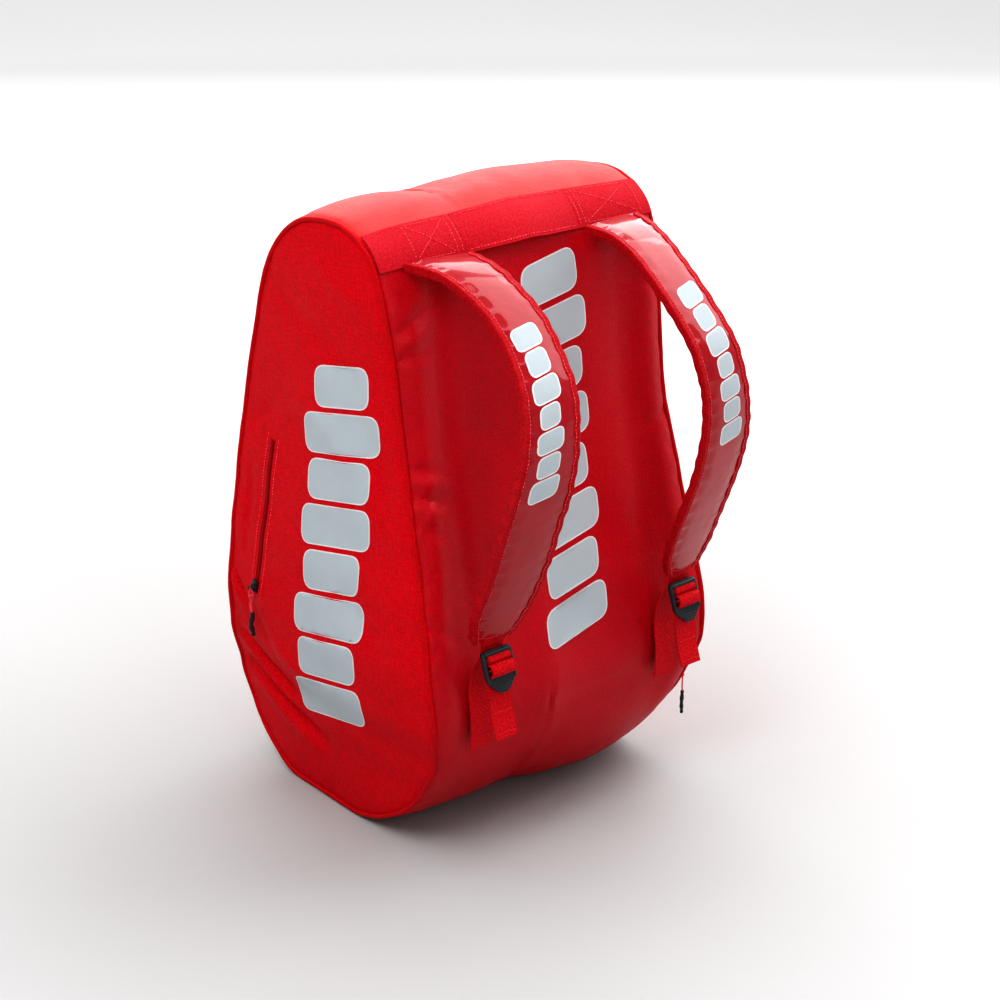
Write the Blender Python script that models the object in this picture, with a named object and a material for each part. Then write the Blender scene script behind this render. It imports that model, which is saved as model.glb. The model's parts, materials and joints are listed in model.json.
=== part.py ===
"""Racket tournament bag, modelled as separate sewn panels, webbing, zips and buckles.

Units are metres, +Z is up, and -Y is the side that lies against the wearer's back.
The origin is the centre of the flat base. The body is a wrap of panels that follows
one teardrop side outline, closed at both ends by side panels with piping.
"""
import math

import bmesh
import bpy
from mathutils import Matrix, Vector

MM = 0.001
GAP = 0.3 * MM

# Side outline of the body as (Y, Z) in millimetres: base, up the front, over, down the back.
SIDE_OUTLINE = [
    (-40, 0), (0, 0), (62, 0), (102, 22), (130, 54), (146, 100), (146, 160), (142, 235),
    (133, 320), (119, 400), (99, 465), (78, 520), (52, 562), (16, 590), (-24, 600), (-62, 598),
    (-95, 580), (-112, 545), (-123, 490), (-135, 400), (-157, 310), (-178, 225), (-188, 160),
    (-180, 122), (-167, 92), (-149, 66), (-126, 40), (-100, 22), (-72, 8),
]
# Half width of the body between its pipings as (Z, X) in millimetres.
HALF_WIDTHS = [
    (0, 156), (60, 156), (100, 160), (150, 170), (190, 172), (250, 168), (310, 163),
    (400, 158), (460, 159), (550, 163), (620, 164),
]

WRAP_THICKNESS = 4 * MM
BACK_THICKNESS = 8 * MM
SIDE_THICKNESS = 5 * MM
SIDE_CROWN = 7 * MM
# Where the filled wrap swells past its pipings: (Y, Z) of the middle, reach and height in mm,
# and the share by which the right compartment swells more than the left one.
SWELLS = [((-122, 36), 72, 12, 0.5), ((-186, 200), 100, -11, 0), ((-12, 600), 100, 10, 0),
          ((126, 350), 130, 8, 0)]
LEAN_REACH = 60 * MM
SEAM_X = -28 * MM
SEAM_SHIFT = -24 * MM
SEAM_REACH = 24 * MM
SEAM_DEPTH = 0.55
SEAM_END_Y = 45 * MM
PIPING_RADIUS = 2.8 * MM
PIPING_INSET = 3 * MM
PIPING_SIDES = 6
SIDE_INSET = PIPING_INSET + PIPING_RADIUS + GAP
SIDE_SEAT = 1 * MM
WRAP_EDGE = SIDE_THICKNESS - SIDE_SEAT + 1 * MM

# Heights where one wrap panel meets the next.
BASE_BACK_Z = 36 * MM
BASE_FRONT_Z = 60 * MM
DOOR_HINGE_Z = 120 * MM
DOOR_TOP_Z = 556 * MM
ARCH_TOP_Z = 586 * MM
BAND_LOW_Z = 567 * MM
BAND_WIDTH = 38 * MM
BAND_THICKNESS = 1.8 * MM
BAND_INNER_X = 67 * MM
BAND_CLEARANCE = 1.6 * MM
HANDLE_BOW = 12 * MM

# Front door: an upside-down U cut in the front, closed by a zip.
DOOR_HALF_WIDTH = 118 * MM
DOOR_CORNER = 55 * MM
ZIP_HALF_WIDTH = 4.5 * MM
ZIP_THICKNESS = 2.4 * MM

# Right side door of the racket compartment.
SIDE_HINGE_Z = 80 * MM
DIVIDER_X = 70 * MM
DIVIDER_THICKNESS = 4 * MM
DIVIDER_INSET = 10.5 * MM

# Left side pocket.
POCKET_TOP = (65 * MM, 364 * MM)
POCKET_BOTTOM = (89 * MM, 200 * MM)
POCKET_DEPTH = 12 * MM

# Shoulder straps: middle of the outer face as (Y, Z, X, width) in millimetres, top to tip.
STRAP_FACE = [
    (-114, 571, 103, 72), (-145, 569, 100, 62), (-175, 559, 97, 57), (-208, 539, 94, 55),
    (-234, 516, 95, 55), (-257, 488, 99, 57), (-268, 458, 103, 59), (-271, 428, 107, 61),
    (-267, 396, 111, 64), (-257, 362, 114, 65), (-245, 329, 114, 65), (-232, 298, 114, 65),
    (-219, 269, 116, 63), (-210, 247, 118, 50), (-206, 238, 119, 40),
]
STRAP_THICKNESS = 9 * MM
STRAP_SPLAY = math.radians(5)
COVER_THICKNESS = 1.5 * MM
STRAP_PIVOT = (-112 * MM, 572 * MM)

WEB_WIDTH = 25 * MM
WEB_THICKNESS = 1.5 * MM
LOCK_X = 117 * MM
LOCK_CENTRE = (-212 * MM, 216 * MM)
LOCK_LEAN = 0.36
LOCK_WIDTH = 34 * MM
LOCK_HEIGHT = 30 * MM
LOCK_TAB = 12 * MM
LOCK_THICKNESS = 4.5 * MM
BAR_PITCH = 10 * MM
SLOT_HEIGHT = 6 * MM
# Webbing in side view as (Y, Z) in millimetres.
LOWER_WEB = [(-186, 122), (-187, 150), (-184, 183), (-190, 208), (-199, 221)]
WEB_TAIL = [(-210, 209), (-214, 195), (-216, 180), (-219, 165), (-225, 147)]

SLIDER_LENGTH = 13 * MM
SLIDER_WIDTH = 9 * MM
SLIDER_THICKNESS = 5 * MM
SLIDER_LIFT = 1.2 * MM
PULL_LENGTH = 54 * MM


# ---------------------------------------------------------------- curves and surfaces

def catmull_rom(points, steps, closed):
    """Smooth points through the given ones, `steps` per span."""
    count = len(points)
    spans = count if closed else count - 1
    result = []
    for i in range(spans):
        if closed:
            p0, p1, p2, p3 = (Vector(points[(i + k) % count]) for k in (-1, 0, 1, 2))
        else:
            p0, p1, p2, p3 = (Vector(points[min(max(i + k, 0), count - 1)]) for k in (-1, 0, 1, 2))
        for j in range(steps):
            t = j / steps
            result.append(0.5 * (2 * p1 + (p2 - p0) * t + (2 * p0 - 5 * p1 + 4 * p2 - p3) * t ** 2
                                 + (3 * p1 - p0 - 3 * p2 + p3) * t ** 3))
    if not closed:
        result.append(Vector(points[-1]))
    return result


class Path:
    """A smooth planar curve measured along its own length."""

    def __init__(self, points, closed):
        self.closed = closed
        self.points = catmull_rom([(a * MM, b * MM) for a, b in points], 16, closed)
        if closed:
            self.points.append(self.points[0].copy())
        self.lengths = [0.0]
        for a, b in zip(self.points, self.points[1:]):
            self.lengths.append(self.lengths[-1] + (b - a).length)
        self.total = self.lengths[-1]

    def at(self, s):
        if self.closed:
            s = s % self.total
        s = min(max(s, 0.0), self.total)
        low, high = 0, len(self.lengths) - 1
        while high - low > 1:
            middle = (low + high) // 2
            if self.lengths[middle] <= s:
                low = middle
            else:
                high = middle
        span = self.lengths[high] - self.lengths[low]
        return self.points[low].lerp(self.points[high], (s - self.lengths[low]) / span)

    def tangent(self, s):
        step = 2 * MM
        return (self.at(s + step) - self.at(s - step)).normalized()


OUTLINE = Path(SIDE_OUTLINE, closed=True)
for point in OUTLINE.points:
    point.y = max(point.y, 0.0)
WRAP_COLUMNS = (-1, -0.85, -0.6, -0.38, -0.18, 0, 0.3, 0.6, 0.85, 1)
STATIONS = [OUTLINE.total * k / 56 for k in range(56)]
TOP_S = OUTLINE.lengths[max(range(len(OUTLINE.points)), key=lambda i: OUTLINE.points[i].y)]


def length_at(z, front):
    """Length along the outline where its front or its back passes the height z."""
    low, high = (0.06, TOP_S) if front else (OUTLINE.total - 0.01, TOP_S)
    for _ in range(40):
        middle = (low + high) / 2
        if OUTLINE.at(middle).y < z:
            low = middle
        else:
            high = middle
    return low


def half_width(z):
    """Half width of the body at the height z, smooth between the listed widths."""
    knots = [(a * MM, b * MM) for a, b in HALF_WIDTHS]
    for (z0, w0), (z1, w1) in zip(knots, knots[1:]):
        if z <= z1:
            t = max(z - z0, 0.0) / (z1 - z0)
            return w0 + (w1 - w0) * t * t * (3 - 2 * t)
    return knots[-1][1]


def on_outline(s, inward):
    """(Y, Z) of the outline at the length s, moved towards the inside of the bag."""
    point = OUTLINE.at(s)
    tangent = OUTLINE.tangent(s)
    return point + Vector((-tangent.y, tangent.x)) * inward


def swell(s, x):
    """How far the wrap stands proud of the outline, less along the centre seam."""
    place = OUTLINE.at(s)
    height = 0.0
    for middle, reach, rise, lean in SWELLS:
        distance = (place - Vector(middle) * MM).length / (reach * MM)
        share = 1 + lean * min(max(x / LEAN_REACH, -1), 1)
        height += rise * share * MM * math.exp(-distance * distance)
    across = 1 - (x / half_width(place.y)) ** 4
    fade = min(max((SEAM_END_Y - place.x) / (60 * MM), 0.0), 1.0)
    seam_x = SEAM_X + SEAM_SHIFT * min(max(place.y / (300 * MM) - 1, 0.0), 1.0)
    seam = 1 - fade * SEAM_DEPTH * math.exp(-((x - seam_x) / SEAM_REACH) ** 2)
    return height * max(across, 0.0) * seam


def on_wrap(s, x, inward):
    y, z = on_outline(s, inward - swell(s, x))
    return Vector((x, y, max(z, inward, 0.0)))


def crowned_x(y, z):
    """Half width of a side panel's outer face, which swells a little in the middle."""
    front = OUTLINE.at(length_at(z, True)).x
    back = OUTLINE.at(length_at(z, False)).x
    across = (y - (front + back) / 2) / ((front - back) / 2)
    up = (z - 300 * MM) / (300 * MM)
    swell = max(1 - across ** 2, 0) * max(1 - up ** 4, 0)
    return half_width(z) + SIDE_SEAT + SIDE_CROWN * swell


def side_frame(y, z, along, side, lift):
    """Frame on a side panel's face: local Y along it, local Z out of it."""
    step = 1 * MM
    slope_y = (crowned_x(y + step, z) - crowned_x(y - step, z)) / (2 * step)
    slope_z = (crowned_x(y, z + step) - crowned_x(y, z - step)) / (2 * step)
    out = Vector((side, -slope_y, -slope_z)).normalized()
    run = Vector((side * (slope_y * along[0] + slope_z * along[1]), along[0], along[1]))
    origin = Vector((side * crowned_x(y, z), y, z)) + out * lift
    return frame_from(origin, run.cross(out), run, out)


def stations_between(start, end):
    """The shared outline stations strictly between two lengths, with both ends added."""
    inside = [s for s in STATIONS if start + 3 * MM < s < end - 3 * MM]
    return [start] + inside + [end]


def cut_ring(ring, z, above):
    """The part of a closed ring of (Y, Z) points on one side of the height z."""
    kept = []
    for a, b in zip(ring, ring[1:] + ring[:1]):
        if (a.y > z) == above:
            kept.append(a)
        if (a.y > z) != (b.y > z):
            kept.append(a.lerp(b, (z - a.y) / (b.y - a.y)))
    start = next(i for i, p in enumerate(kept) if abs(p.y - z) < GAP / 10)
    if abs(kept[(start + 1) % len(kept)].y - z) < GAP / 10:
        start = (start + 1) % len(kept)
    kept = kept[start:] + kept[:start]
    return kept + [kept[-1].lerp(kept[0], k / 6) for k in range(1, 6)]


def spread(start, end, count):
    return [start + (end - start) * i / count for i in range(count + 1)]


# ---------------------------------------------------------------- meshes and objects

def material(name, colour, roughness, metallic=0.0):
    found = bpy.data.materials.get(name)
    if found:
        return found
    made = bpy.data.materials.new(name)
    made.use_nodes = True
    shader = made.node_tree.nodes["Principled BSDF"]
    shader.inputs["Base Color"].default_value = (*colour, 1.0)
    shader.inputs["Roughness"].default_value = roughness
    shader.inputs["Metallic"].default_value = metallic
    made.diffuse_color = (*colour, 1.0)
    return made


FINISHES = {
    "red_fabric": ((0.56, 0.008, 0.014), 0.5, 0.0),
    "gloss_red": ((0.60, 0.012, 0.02), 0.15, 0.0),
    "red_webbing": ((0.50, 0.008, 0.014), 0.7, 0.0),
    "black_plastic": ((0.012, 0.014, 0.018), 0.4, 0.0),
    "black_lining": ((0.02, 0.02, 0.024), 0.8, 0.0),
    "zip_red": ((0.35, 0.006, 0.01), 0.5, 0.0),
    "board_grey": ((0.18, 0.18, 0.19), 0.7, 0.0),
}


def finish_object(name, bm, finish, pivot=None):
    """Turn a bmesh into a named object with its origin at `pivot`."""
    bmesh.ops.remove_doubles(bm, verts=bm.verts, dist=0.001 * MM)
    bmesh.ops.recalc_face_normals(bm, faces=bm.faces)
    if pivot:
        bmesh.ops.translate(bm, verts=bm.verts, vec=-Vector(pivot))
    mesh = bpy.data.meshes.new(name)
    bm.to_mesh(mesh)
    bm.free()
    mesh.shade_smooth()
    mesh.set_sharp_from_angle(angle=math.radians(40))
    mesh.materials.append(material(finish, *FINISHES[finish]))
    made = bpy.data.objects.new(name, mesh)
    made.location = pivot or (0, 0, 0)
    bpy.context.collection.objects.link(made)
    return made


def sheet(name, outer, inner, finish, closed=False, pivot=None):
    """A sheet between two grids of points; closed grids join their last row to the first."""
    bm = bmesh.new()
    layers = [[[bm.verts.new(p) for p in row] for row in grid] for grid in (outer, inner)]
    rows, columns = len(outer), len(outer[0])
    row_pairs = [(i, (i + 1) % rows) for i in range(rows if closed else rows - 1)]
    for layer in layers:
        for i, k in row_pairs:
            for j in range(columns - 1):
                bm.faces.new((layer[i][j], layer[k][j], layer[k][j + 1], layer[i][j + 1]))
    for i, k in row_pairs:
        for j in (0, columns - 1):
            bm.faces.new((layers[0][i][j], layers[0][k][j], layers[1][k][j], layers[1][i][j]))
    if not closed:
        for i in (0, rows - 1):
            for j in range(columns - 1):
                bm.faces.new((layers[0][i][j], layers[0][i][j + 1],
                              layers[1][i][j + 1], layers[1][i][j]))
    return finish_object(name, bm, finish, pivot)


def plate(name, outline, face, thickness, rings, finish, side=1, pivot=None):
    """A side panel: rings of points from its outline to its middle, `thickness` thick."""
    centre = sum(outline, Vector((0, 0))) / len(outline)
    grids = []
    for depth in (0, thickness):
        grid = []
        for edge in outline:
            row = [edge.lerp(centre, k / rings) for k in range(rings + 1)]
            grid.append([Vector((side * (face(y, z) - depth), y, z)) for y, z in row])
        grids.append(grid)
    bm = bmesh.new()
    layers = [[[bm.verts.new(p) for p in row[:-1]] for row in grid] for grid in grids]
    middles = [bm.verts.new(grid[0][-1]) for grid in grids]
    count = len(outline)
    for layer, middle in zip(layers, middles):
        for i in range(count):
            k = (i + 1) % count
            for j in range(rings - 1):
                bm.faces.new((layer[i][j], layer[k][j], layer[k][j + 1], layer[i][j + 1]))
            bm.faces.new((layer[i][-1], layer[k][-1], middle))
    for i in range(count):
        k = (i + 1) % count
        bm.faces.new((layers[0][i][0], layers[0][k][0], layers[1][k][0], layers[1][i][0]))
    return finish_object(name, bm, finish, pivot)


def ribbon(name, stations, finish, pivot=None, splay=0.0):
    """A flat band along X: each station is (centre, width, thickness, normal in Y and Z)."""
    outer, inner = [], []
    for centre, width, thickness, normal in stations:
        lift = Vector((0, normal[0], normal[1])) * (thickness / 2)
        across = Vector((width / 2 * math.cos(splay), -width / 2 * math.sin(splay), 0))
        outer.append([centre - across + lift, centre + across + lift])
        inner.append([centre - across - lift, centre + across - lift])
    return sheet(name, outer, inner, finish, pivot=pivot)


def line_stations(points, x, width, thickness):
    """Ribbon stations along a polyline in the YZ plane at one X."""
    stations = []
    for i, point in enumerate(points):
        before = Vector(points[max(i - 1, 0)])
        after = Vector(points[min(i + 1, len(points) - 1)])
        tangent = (after - before).normalized()
        normal = (tangent.y, -tangent.x)
        stations.append((Vector((x, point[0], point[1])), width, thickness, normal))
    return stations


def prism(name, outline, depth, finish, frame, pivot):
    """Extrude a flat outline of local (u, v) by `depth`; `frame` places it in the world."""
    bm = bmesh.new()
    low = [bm.verts.new(frame @ Vector((u, v, 0))) for u, v in outline]
    high = [bm.verts.new(frame @ Vector((u, v, depth))) for u, v in outline]
    bm.faces.new(low)
    bm.faces.new(high)
    for i in range(len(outline)):
        k = (i + 1) % len(outline)
        bm.faces.new((low[i], low[k], high[k], high[i]))
    return finish_object(name, bm, finish, pivot)


def turned(name, profile, sides, finish, frame, pivot):
    """A closed turned piece: profile of (radius, distance along the local -Z axis)."""
    bm = bmesh.new()
    rings = []
    for radius, along in profile:
        ring = []
        for k in range(sides):
            angle = 2 * math.pi * k / sides
            local = Vector((radius * math.cos(angle), radius * math.sin(angle), -along))
            ring.append(bm.verts.new(frame @ local))
        rings.append(ring)
    bm.faces.new(rings[0])
    bm.faces.new(rings[-1])
    for a, b in zip(rings, rings[1:]):
        for k in range(sides):
            m = (k + 1) % sides
            bm.faces.new((a[k], a[m], b[m], b[k]))
    return finish_object(name, bm, finish, pivot)


def frame_from(origin, across, along, out):
    """World matrix whose local X, Y and Z axes are the three directions given."""
    axes = [Vector(axis).normalized() for axis in (across, along, out)]
    matrix = Matrix.Identity(4)
    for column, axis in enumerate(axes):
        for row in range(3):
            matrix[row][column] = axis[row]
    matrix.translation = Vector(origin)
    return matrix


def slotted(target, name, size, frame):
    """Cut a box-shaped slot through a piece with a Boolean."""
    bm = bmesh.new()
    bmesh.ops.create_cube(bm, size=1.0)
    bmesh.ops.scale(bm, verts=bm.verts, vec=size)
    bmesh.ops.transform(bm, verts=bm.verts, matrix=frame)
    mesh = bpy.data.meshes.new(name)
    bm.to_mesh(mesh)
    bm.free()
    cutter = bpy.data.objects.new(name, mesh)
    cutter.hide_render = True
    cutter.display_type = "WIRE"
    bpy.context.collection.objects.link(cutter)
    cut = target.modifiers.new(name, "BOOLEAN")
    cut.operation = "DIFFERENCE"
    cut.object = cutter
    cut.solver = "EXACT"


# ---------------------------------------------------------------- body panels

def wrap_panel(name, start, end, rows, thickness, finish="red_fabric"):
    """A panel of the wrap from one length of the outline to another, piping to piping."""
    grids = []
    for inward in (0.0, thickness):
        grid = []
        for s in spread(start + GAP, end - GAP, rows):
            reach = half_width(OUTLINE.at(s).y) - WRAP_EDGE
            grid.append([on_wrap(s, reach * part, inward) for part in WRAP_COLUMNS])
        grids.append(grid)
    return sheet(name, grids[0], grids[1], finish)


def build_wrap():
    base_back = length_at(BASE_BACK_Z, False)
    base_front = length_at(BASE_FRONT_Z, True)
    wrap_panel("base_panel", base_back - OUTLINE.total, base_front, 14, WRAP_THICKNESS)
    wrap_panel("front_lower_panel", base_front, length_at(DOOR_HINGE_Z, True), 3, WRAP_THICKNESS)
    wrap_panel("top_panel", length_at(ARCH_TOP_Z, True), length_at(BAND_LOW_Z, False), 8,
               WRAP_THICKNESS)
    wrap_panel("back_panel", length_at(BAND_LOW_Z, False), base_back, 18, BACK_THICKNESS)


def build_base_board():
    """Stiff board on the floor of the bag."""
    x = 138 * MM
    back = -26 * MM
    front = 44 * MM
    low = WRAP_THICKNESS + GAP
    high = low + 3 * MM
    corners = [(-x, back), (x, back), (x, front), (-x, front)]
    frame = Matrix.Translation((0, 0, low))
    prism("base_board", corners, high - low, "board_grey", frame, None)


def build_side_panels():
    ring = [on_outline(s, SIDE_INSET) for s in STATIONS]
    left = plate("left_side_panel", ring, crowned_x, SIDE_THICKNESS, 4, "red_fabric", side=-1)
    top, bottom = (Vector(p) for p in (POCKET_TOP, POCKET_BOTTOM))
    middle = (top + bottom) / 2
    along = (bottom - top).normalized()
    slot_frame = frame_from((-half_width(middle.y), *middle), (1, 0, 0), (0, *along),
                            (0, -along.y, along.x))
    size = (40 * MM, (bottom - top).length + 2 * GAP, 2 * ZIP_HALF_WIDTH + 2 * GAP)
    slotted(left, "pocket_slot_cutter", size, slot_frame)


def build_side_door():
    """Right side panel: a door above the hinge fold and a fixed sill below it."""
    back = length_at(SIDE_HINGE_Z, False)
    front = length_at(SIDE_HINGE_Z, True)
    door_inset = SIDE_INSET + 2 * ZIP_HALF_WIDTH + 2 * GAP
    upper = cut_ring([on_outline(s, door_inset) for s in STATIONS], SIDE_HINGE_Z + GAP, True)
    hinge = (crowned_x(-20 * MM, SIDE_HINGE_Z), -10 * MM, SIDE_HINGE_Z)
    plate("right_side_door", upper, crowned_x, SIDE_THICKNESS, 4, "red_fabric", pivot=hinge)
    lower = cut_ring([on_outline(s, SIDE_INSET) for s in STATIONS], SIDE_HINGE_Z - GAP, False)
    plate("right_side_sill", lower, crowned_x, SIDE_THICKNESS, 3, "red_fabric")
    outer, inner = [], []
    for s in stations_between(front + 4 * MM, back - 4 * MM):
        edges = [on_outline(s, inset) for inset in (SIDE_INSET + GAP, door_inset - GAP)]
        outer.append([Vector((crowned_x(y, z) - 1 * MM, y, z)) for y, z in edges])
        inner.append([p - Vector((ZIP_THICKNESS, 0, 0)) for p in outer[-1]])
    sheet("racket_zip", outer, inner, "zip_red")


def build_piping(name, side):
    """Cord-filled piping round the whole seam of a side panel."""
    bm = bmesh.new()
    rings = []
    for s in STATIONS:
        y, z = on_outline(s, PIPING_INSET)
        tangent = OUTLINE.tangent(s)
        normal = Vector((0, tangent.y, -tangent.x))
        centre = Vector((side * half_width(z), y, z))
        ring = []
        for k in range(PIPING_SIDES):
            angle = 2 * math.pi * k / PIPING_SIDES
            ring.append(bm.verts.new(centre + PIPING_RADIUS * (
                normal * math.cos(angle) + Vector((math.sin(angle), 0, 0)))))
        rings.append(ring)
    for i in range(len(rings)):
        a, b = rings[i], rings[(i + 1) % len(rings)]
        for k in range(PIPING_SIDES):
            m = (k + 1) % PIPING_SIDES
            bm.faces.new((a[k], a[m], b[m], b[k]))
    finish_object(name, bm, "red_fabric")


def door_edge(grow):
    """The door's U as (x, s) points from its lower left corner to its lower right corner."""
    low = length_at(DOOR_HINGE_Z, True)
    high = length_at(DOOR_TOP_Z, True) + grow
    half = DOOR_HALF_WIDTH + grow
    corner = DOOR_CORNER + grow
    left = [(-half, s) for s in spread(low, high - corner, 14)]
    for k in range(1, 6):
        angle = math.pi / 2 * k / 6
        left.append((-half + corner * (1 - math.cos(angle)), high - corner * (1 - math.sin(angle))))
    left.append((-half + corner, high))
    return left + [(0.0, high)] + [(-x, s) for x, s in reversed(left)]


def build_front():
    low = length_at(DOOR_HINGE_Z, True)
    edge = door_edge(-ZIP_HALF_WIDTH - GAP)
    half = len(edge) // 2
    rows = [((x, s), (0.0, s), (-x, s)) for x, s in edge[:half]]
    rows[0] = tuple((x, s + GAP) for x, s in rows[0])
    grids = [[[on_wrap(s, x, inward) for x, s in row] for row in rows]
             for inward in (0.0, WRAP_THICKNESS)]
    hinge = on_wrap(low, 0.0, 0.0)
    sheet("front_door", grids[0], grids[1], "red_fabric", pivot=hinge)

    zip_rows = list(zip(door_edge(-ZIP_HALF_WIDTH), door_edge(ZIP_HALF_WIDTH)))
    zip_rows[0] = tuple((x, s + GAP) for x, s in zip_rows[0])
    zip_rows[-1] = tuple((x, s + GAP) for x, s in zip_rows[-1])
    grids = [[[on_wrap(s, x, inward) for x, s in row] for row in zip_rows]
             for inward in (1 * MM, 1 * MM + ZIP_THICKNESS)]
    sheet("front_zip", grids[0], grids[1], "zip_red")

    top = length_at(ARCH_TOP_Z, True) - GAP
    inner_edge = door_edge(ZIP_HALF_WIDTH + GAP)
    corner_start = inner_edge[14][1]
    arch_rows = []
    for x, s in inner_edge:
        side = -1 if x < 0 else 1
        reach = half_width(OUTLINE.at(s).y) - WRAP_EDGE
        if s <= corner_start + 1e-9:
            outer_point = (side * reach, s)
        else:
            part = (s - corner_start) / (inner_edge[half][1] - corner_start)
            climb = corner_start + (top - corner_start) * min(part * 1.25, 1.0)
            reach = half_width(OUTLINE.at(climb).y) - WRAP_EDGE
            outer_point = (side * reach, climb)
        if abs(x) <= DOOR_HALF_WIDTH - DOOR_CORNER + MM:
            outer_point = (x * 1.9, top)
        arch_rows.append(((x, s), outer_point))
    for i in (0, -1):
        arch_rows[i] = tuple((x, s + GAP) for x, s in arch_rows[i])
    grids = [[[on_wrap(s, x, inward) for x, s in row] for row in arch_rows]
             for inward in (0.0, WRAP_THICKNESS)]
    sheet("front_arch", grids[0], grids[1], "red_fabric")


# ---------------------------------------------------------------- inside the bag

def build_divider():
    """Padded wall between the main compartment and the racket compartment."""
    ring = [on_wrap(s, DIVIDER_X, DIVIDER_INSET).yz for s in STATIONS[::2]]
    plate("racket_divider", ring, lambda y, z: DIVIDER_X, DIVIDER_THICKNESS, 2, "black_lining")


def open_box(name, low, high, wall, open_axis, open_sign, finish):
    """A thin-walled box with one open side."""
    inner_low = [v + wall for v in low]
    inner_high = [v - wall for v in high]
    if open_sign > 0:
        inner_high[open_axis] = high[open_axis] + wall
    else:
        inner_low[open_axis] = low[open_axis] - wall
    bm = bmesh.new()
    centre = [(a + b) / 2 for a, b in zip(low, high)]
    bmesh.ops.create_cube(bm, size=1.0)
    bmesh.ops.scale(bm, verts=bm.verts, vec=[b - a for a, b in zip(low, high)])
    bmesh.ops.translate(bm, verts=bm.verts, vec=centre)
    made = finish_object(name, bm, finish)
    size = [b - a for a, b in zip(inner_low, inner_high)]
    middle = [(a + b) / 2 for a, b in zip(inner_low, inner_high)]
    slotted(made, name + "_cutter", size, Matrix.Translation(middle))


def build_pockets():
    wall = 1.5 * MM
    face = DIVIDER_X - DIVIDER_THICKNESS - GAP
    open_box("organizer_pocket", (face - 14 * MM, -70 * MM, 190 * MM),
             (face, 60 * MM, 360 * MM), wall, 2, 1, "black_lining")
    inside = -(half_width(400 * MM) - 8 * MM)
    open_box("pocket_lining", (inside, 10 * MM, 180 * MM),
             (inside + POCKET_DEPTH, 104 * MM, 392 * MM), wall, 0, -1, "black_lining")


# ---------------------------------------------------------------- webbing band and handle

def band_rows(columns, bow):
    """Band grids over the top edge of the back; `bow` lifts the loose middle."""
    low = length_at(BAND_LOW_Z, False) + 2 * MM
    rows = []
    for x in columns:
        arch = bow * math.cos(math.pi / 2 * x / BAND_INNER_X)
        outer, inner = [], []
        for k in range(5):
            lift = BAND_CLEARANCE + arch * (1 - 0.7 * k / 4)
            s = low - BAND_WIDTH * k / 4
            outer.append(on_wrap(s, x, -lift - BAND_THICKNESS))
            inner.append(on_wrap(s, x, -lift))
        rows.append((outer, inner))
    return [row[0] for row in rows], [row[1] for row in rows]


def build_band():
    edge = half_width(580 * MM) - PIPING_RADIUS - 1 * MM
    for name, side in (("band_left", -1), ("band_right", 1)):
        columns = [side * x for x in spread(BAND_INNER_X + GAP, edge, 5)]
        outer, inner = band_rows(columns, 0.0)
        sheet(name, outer, inner, "red_webbing")
    columns = spread(-BAND_INNER_X, BAND_INNER_X, 10)
    outer, inner = band_rows(columns, HANDLE_BOW)
    pivot = on_wrap(length_at(BAND_LOW_Z, False) - BAND_WIDTH / 2, 0.0, -2 * MM)
    sheet("grab_handle", outer, inner, "red_webbing", pivot=pivot)


# ---------------------------------------------------------------- shoulder straps

STRAP = Path([station[:2] for station in STRAP_FACE], closed=False)


def strap_value(part, column):
    """X or width of the strap a given part of the way along it, in metres."""
    at = part * (len(STRAP_FACE) - 1)
    low = min(int(at), len(STRAP_FACE) - 2)
    t = at - low
    return (STRAP_FACE[low][column] * (1 - t) + STRAP_FACE[low + 1][column] * t) * MM


def strap_stations(side, inward, thickness):
    """Ribbon stations at every listed point and halfway between them."""
    stations = []
    count = 2 * (len(STRAP_FACE) - 1)
    steps = len(STRAP.points) - 1
    for k in range(count + 1):
        s = STRAP.lengths[steps * k // count]
        tangent = STRAP.tangent(min(max(s, 2 * MM), STRAP.total - 2 * MM))
        normal = Vector((tangent.y, -tangent.x))
        y, z = STRAP.at(s) - normal * inward
        part = k / count
        centre = Vector((side * strap_value(part, 2), y, z))
        stations.append((centre, strap_value(part, 3), thickness, normal))
    return stations


def build_strap(side, word):
    pivot = (side * strap_value(0.0, 2), *STRAP_PIVOT)
    splay = -side * STRAP_SPLAY
    pad = STRAP_THICKNESS - COVER_THICKNESS - GAP
    ribbon(word + "_strap_cover", strap_stations(side, COVER_THICKNESS / 2, COVER_THICKNESS),
           "gloss_red", pivot, splay)
    ribbon(word + "_strap_pad", strap_stations(side, COVER_THICKNESS + GAP + pad / 2, pad),
           "red_fabric", pivot, splay)


def buckle_frame(side):
    """Local X across the web, Y up along the buckle, Z out from the bag."""
    y, z = LOCK_CENTRE
    return frame_from((side * LOCK_X, y, z), (1, 0, 0), (0, LOCK_LEAN, 1), (0, -1, LOCK_LEAN))


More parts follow.
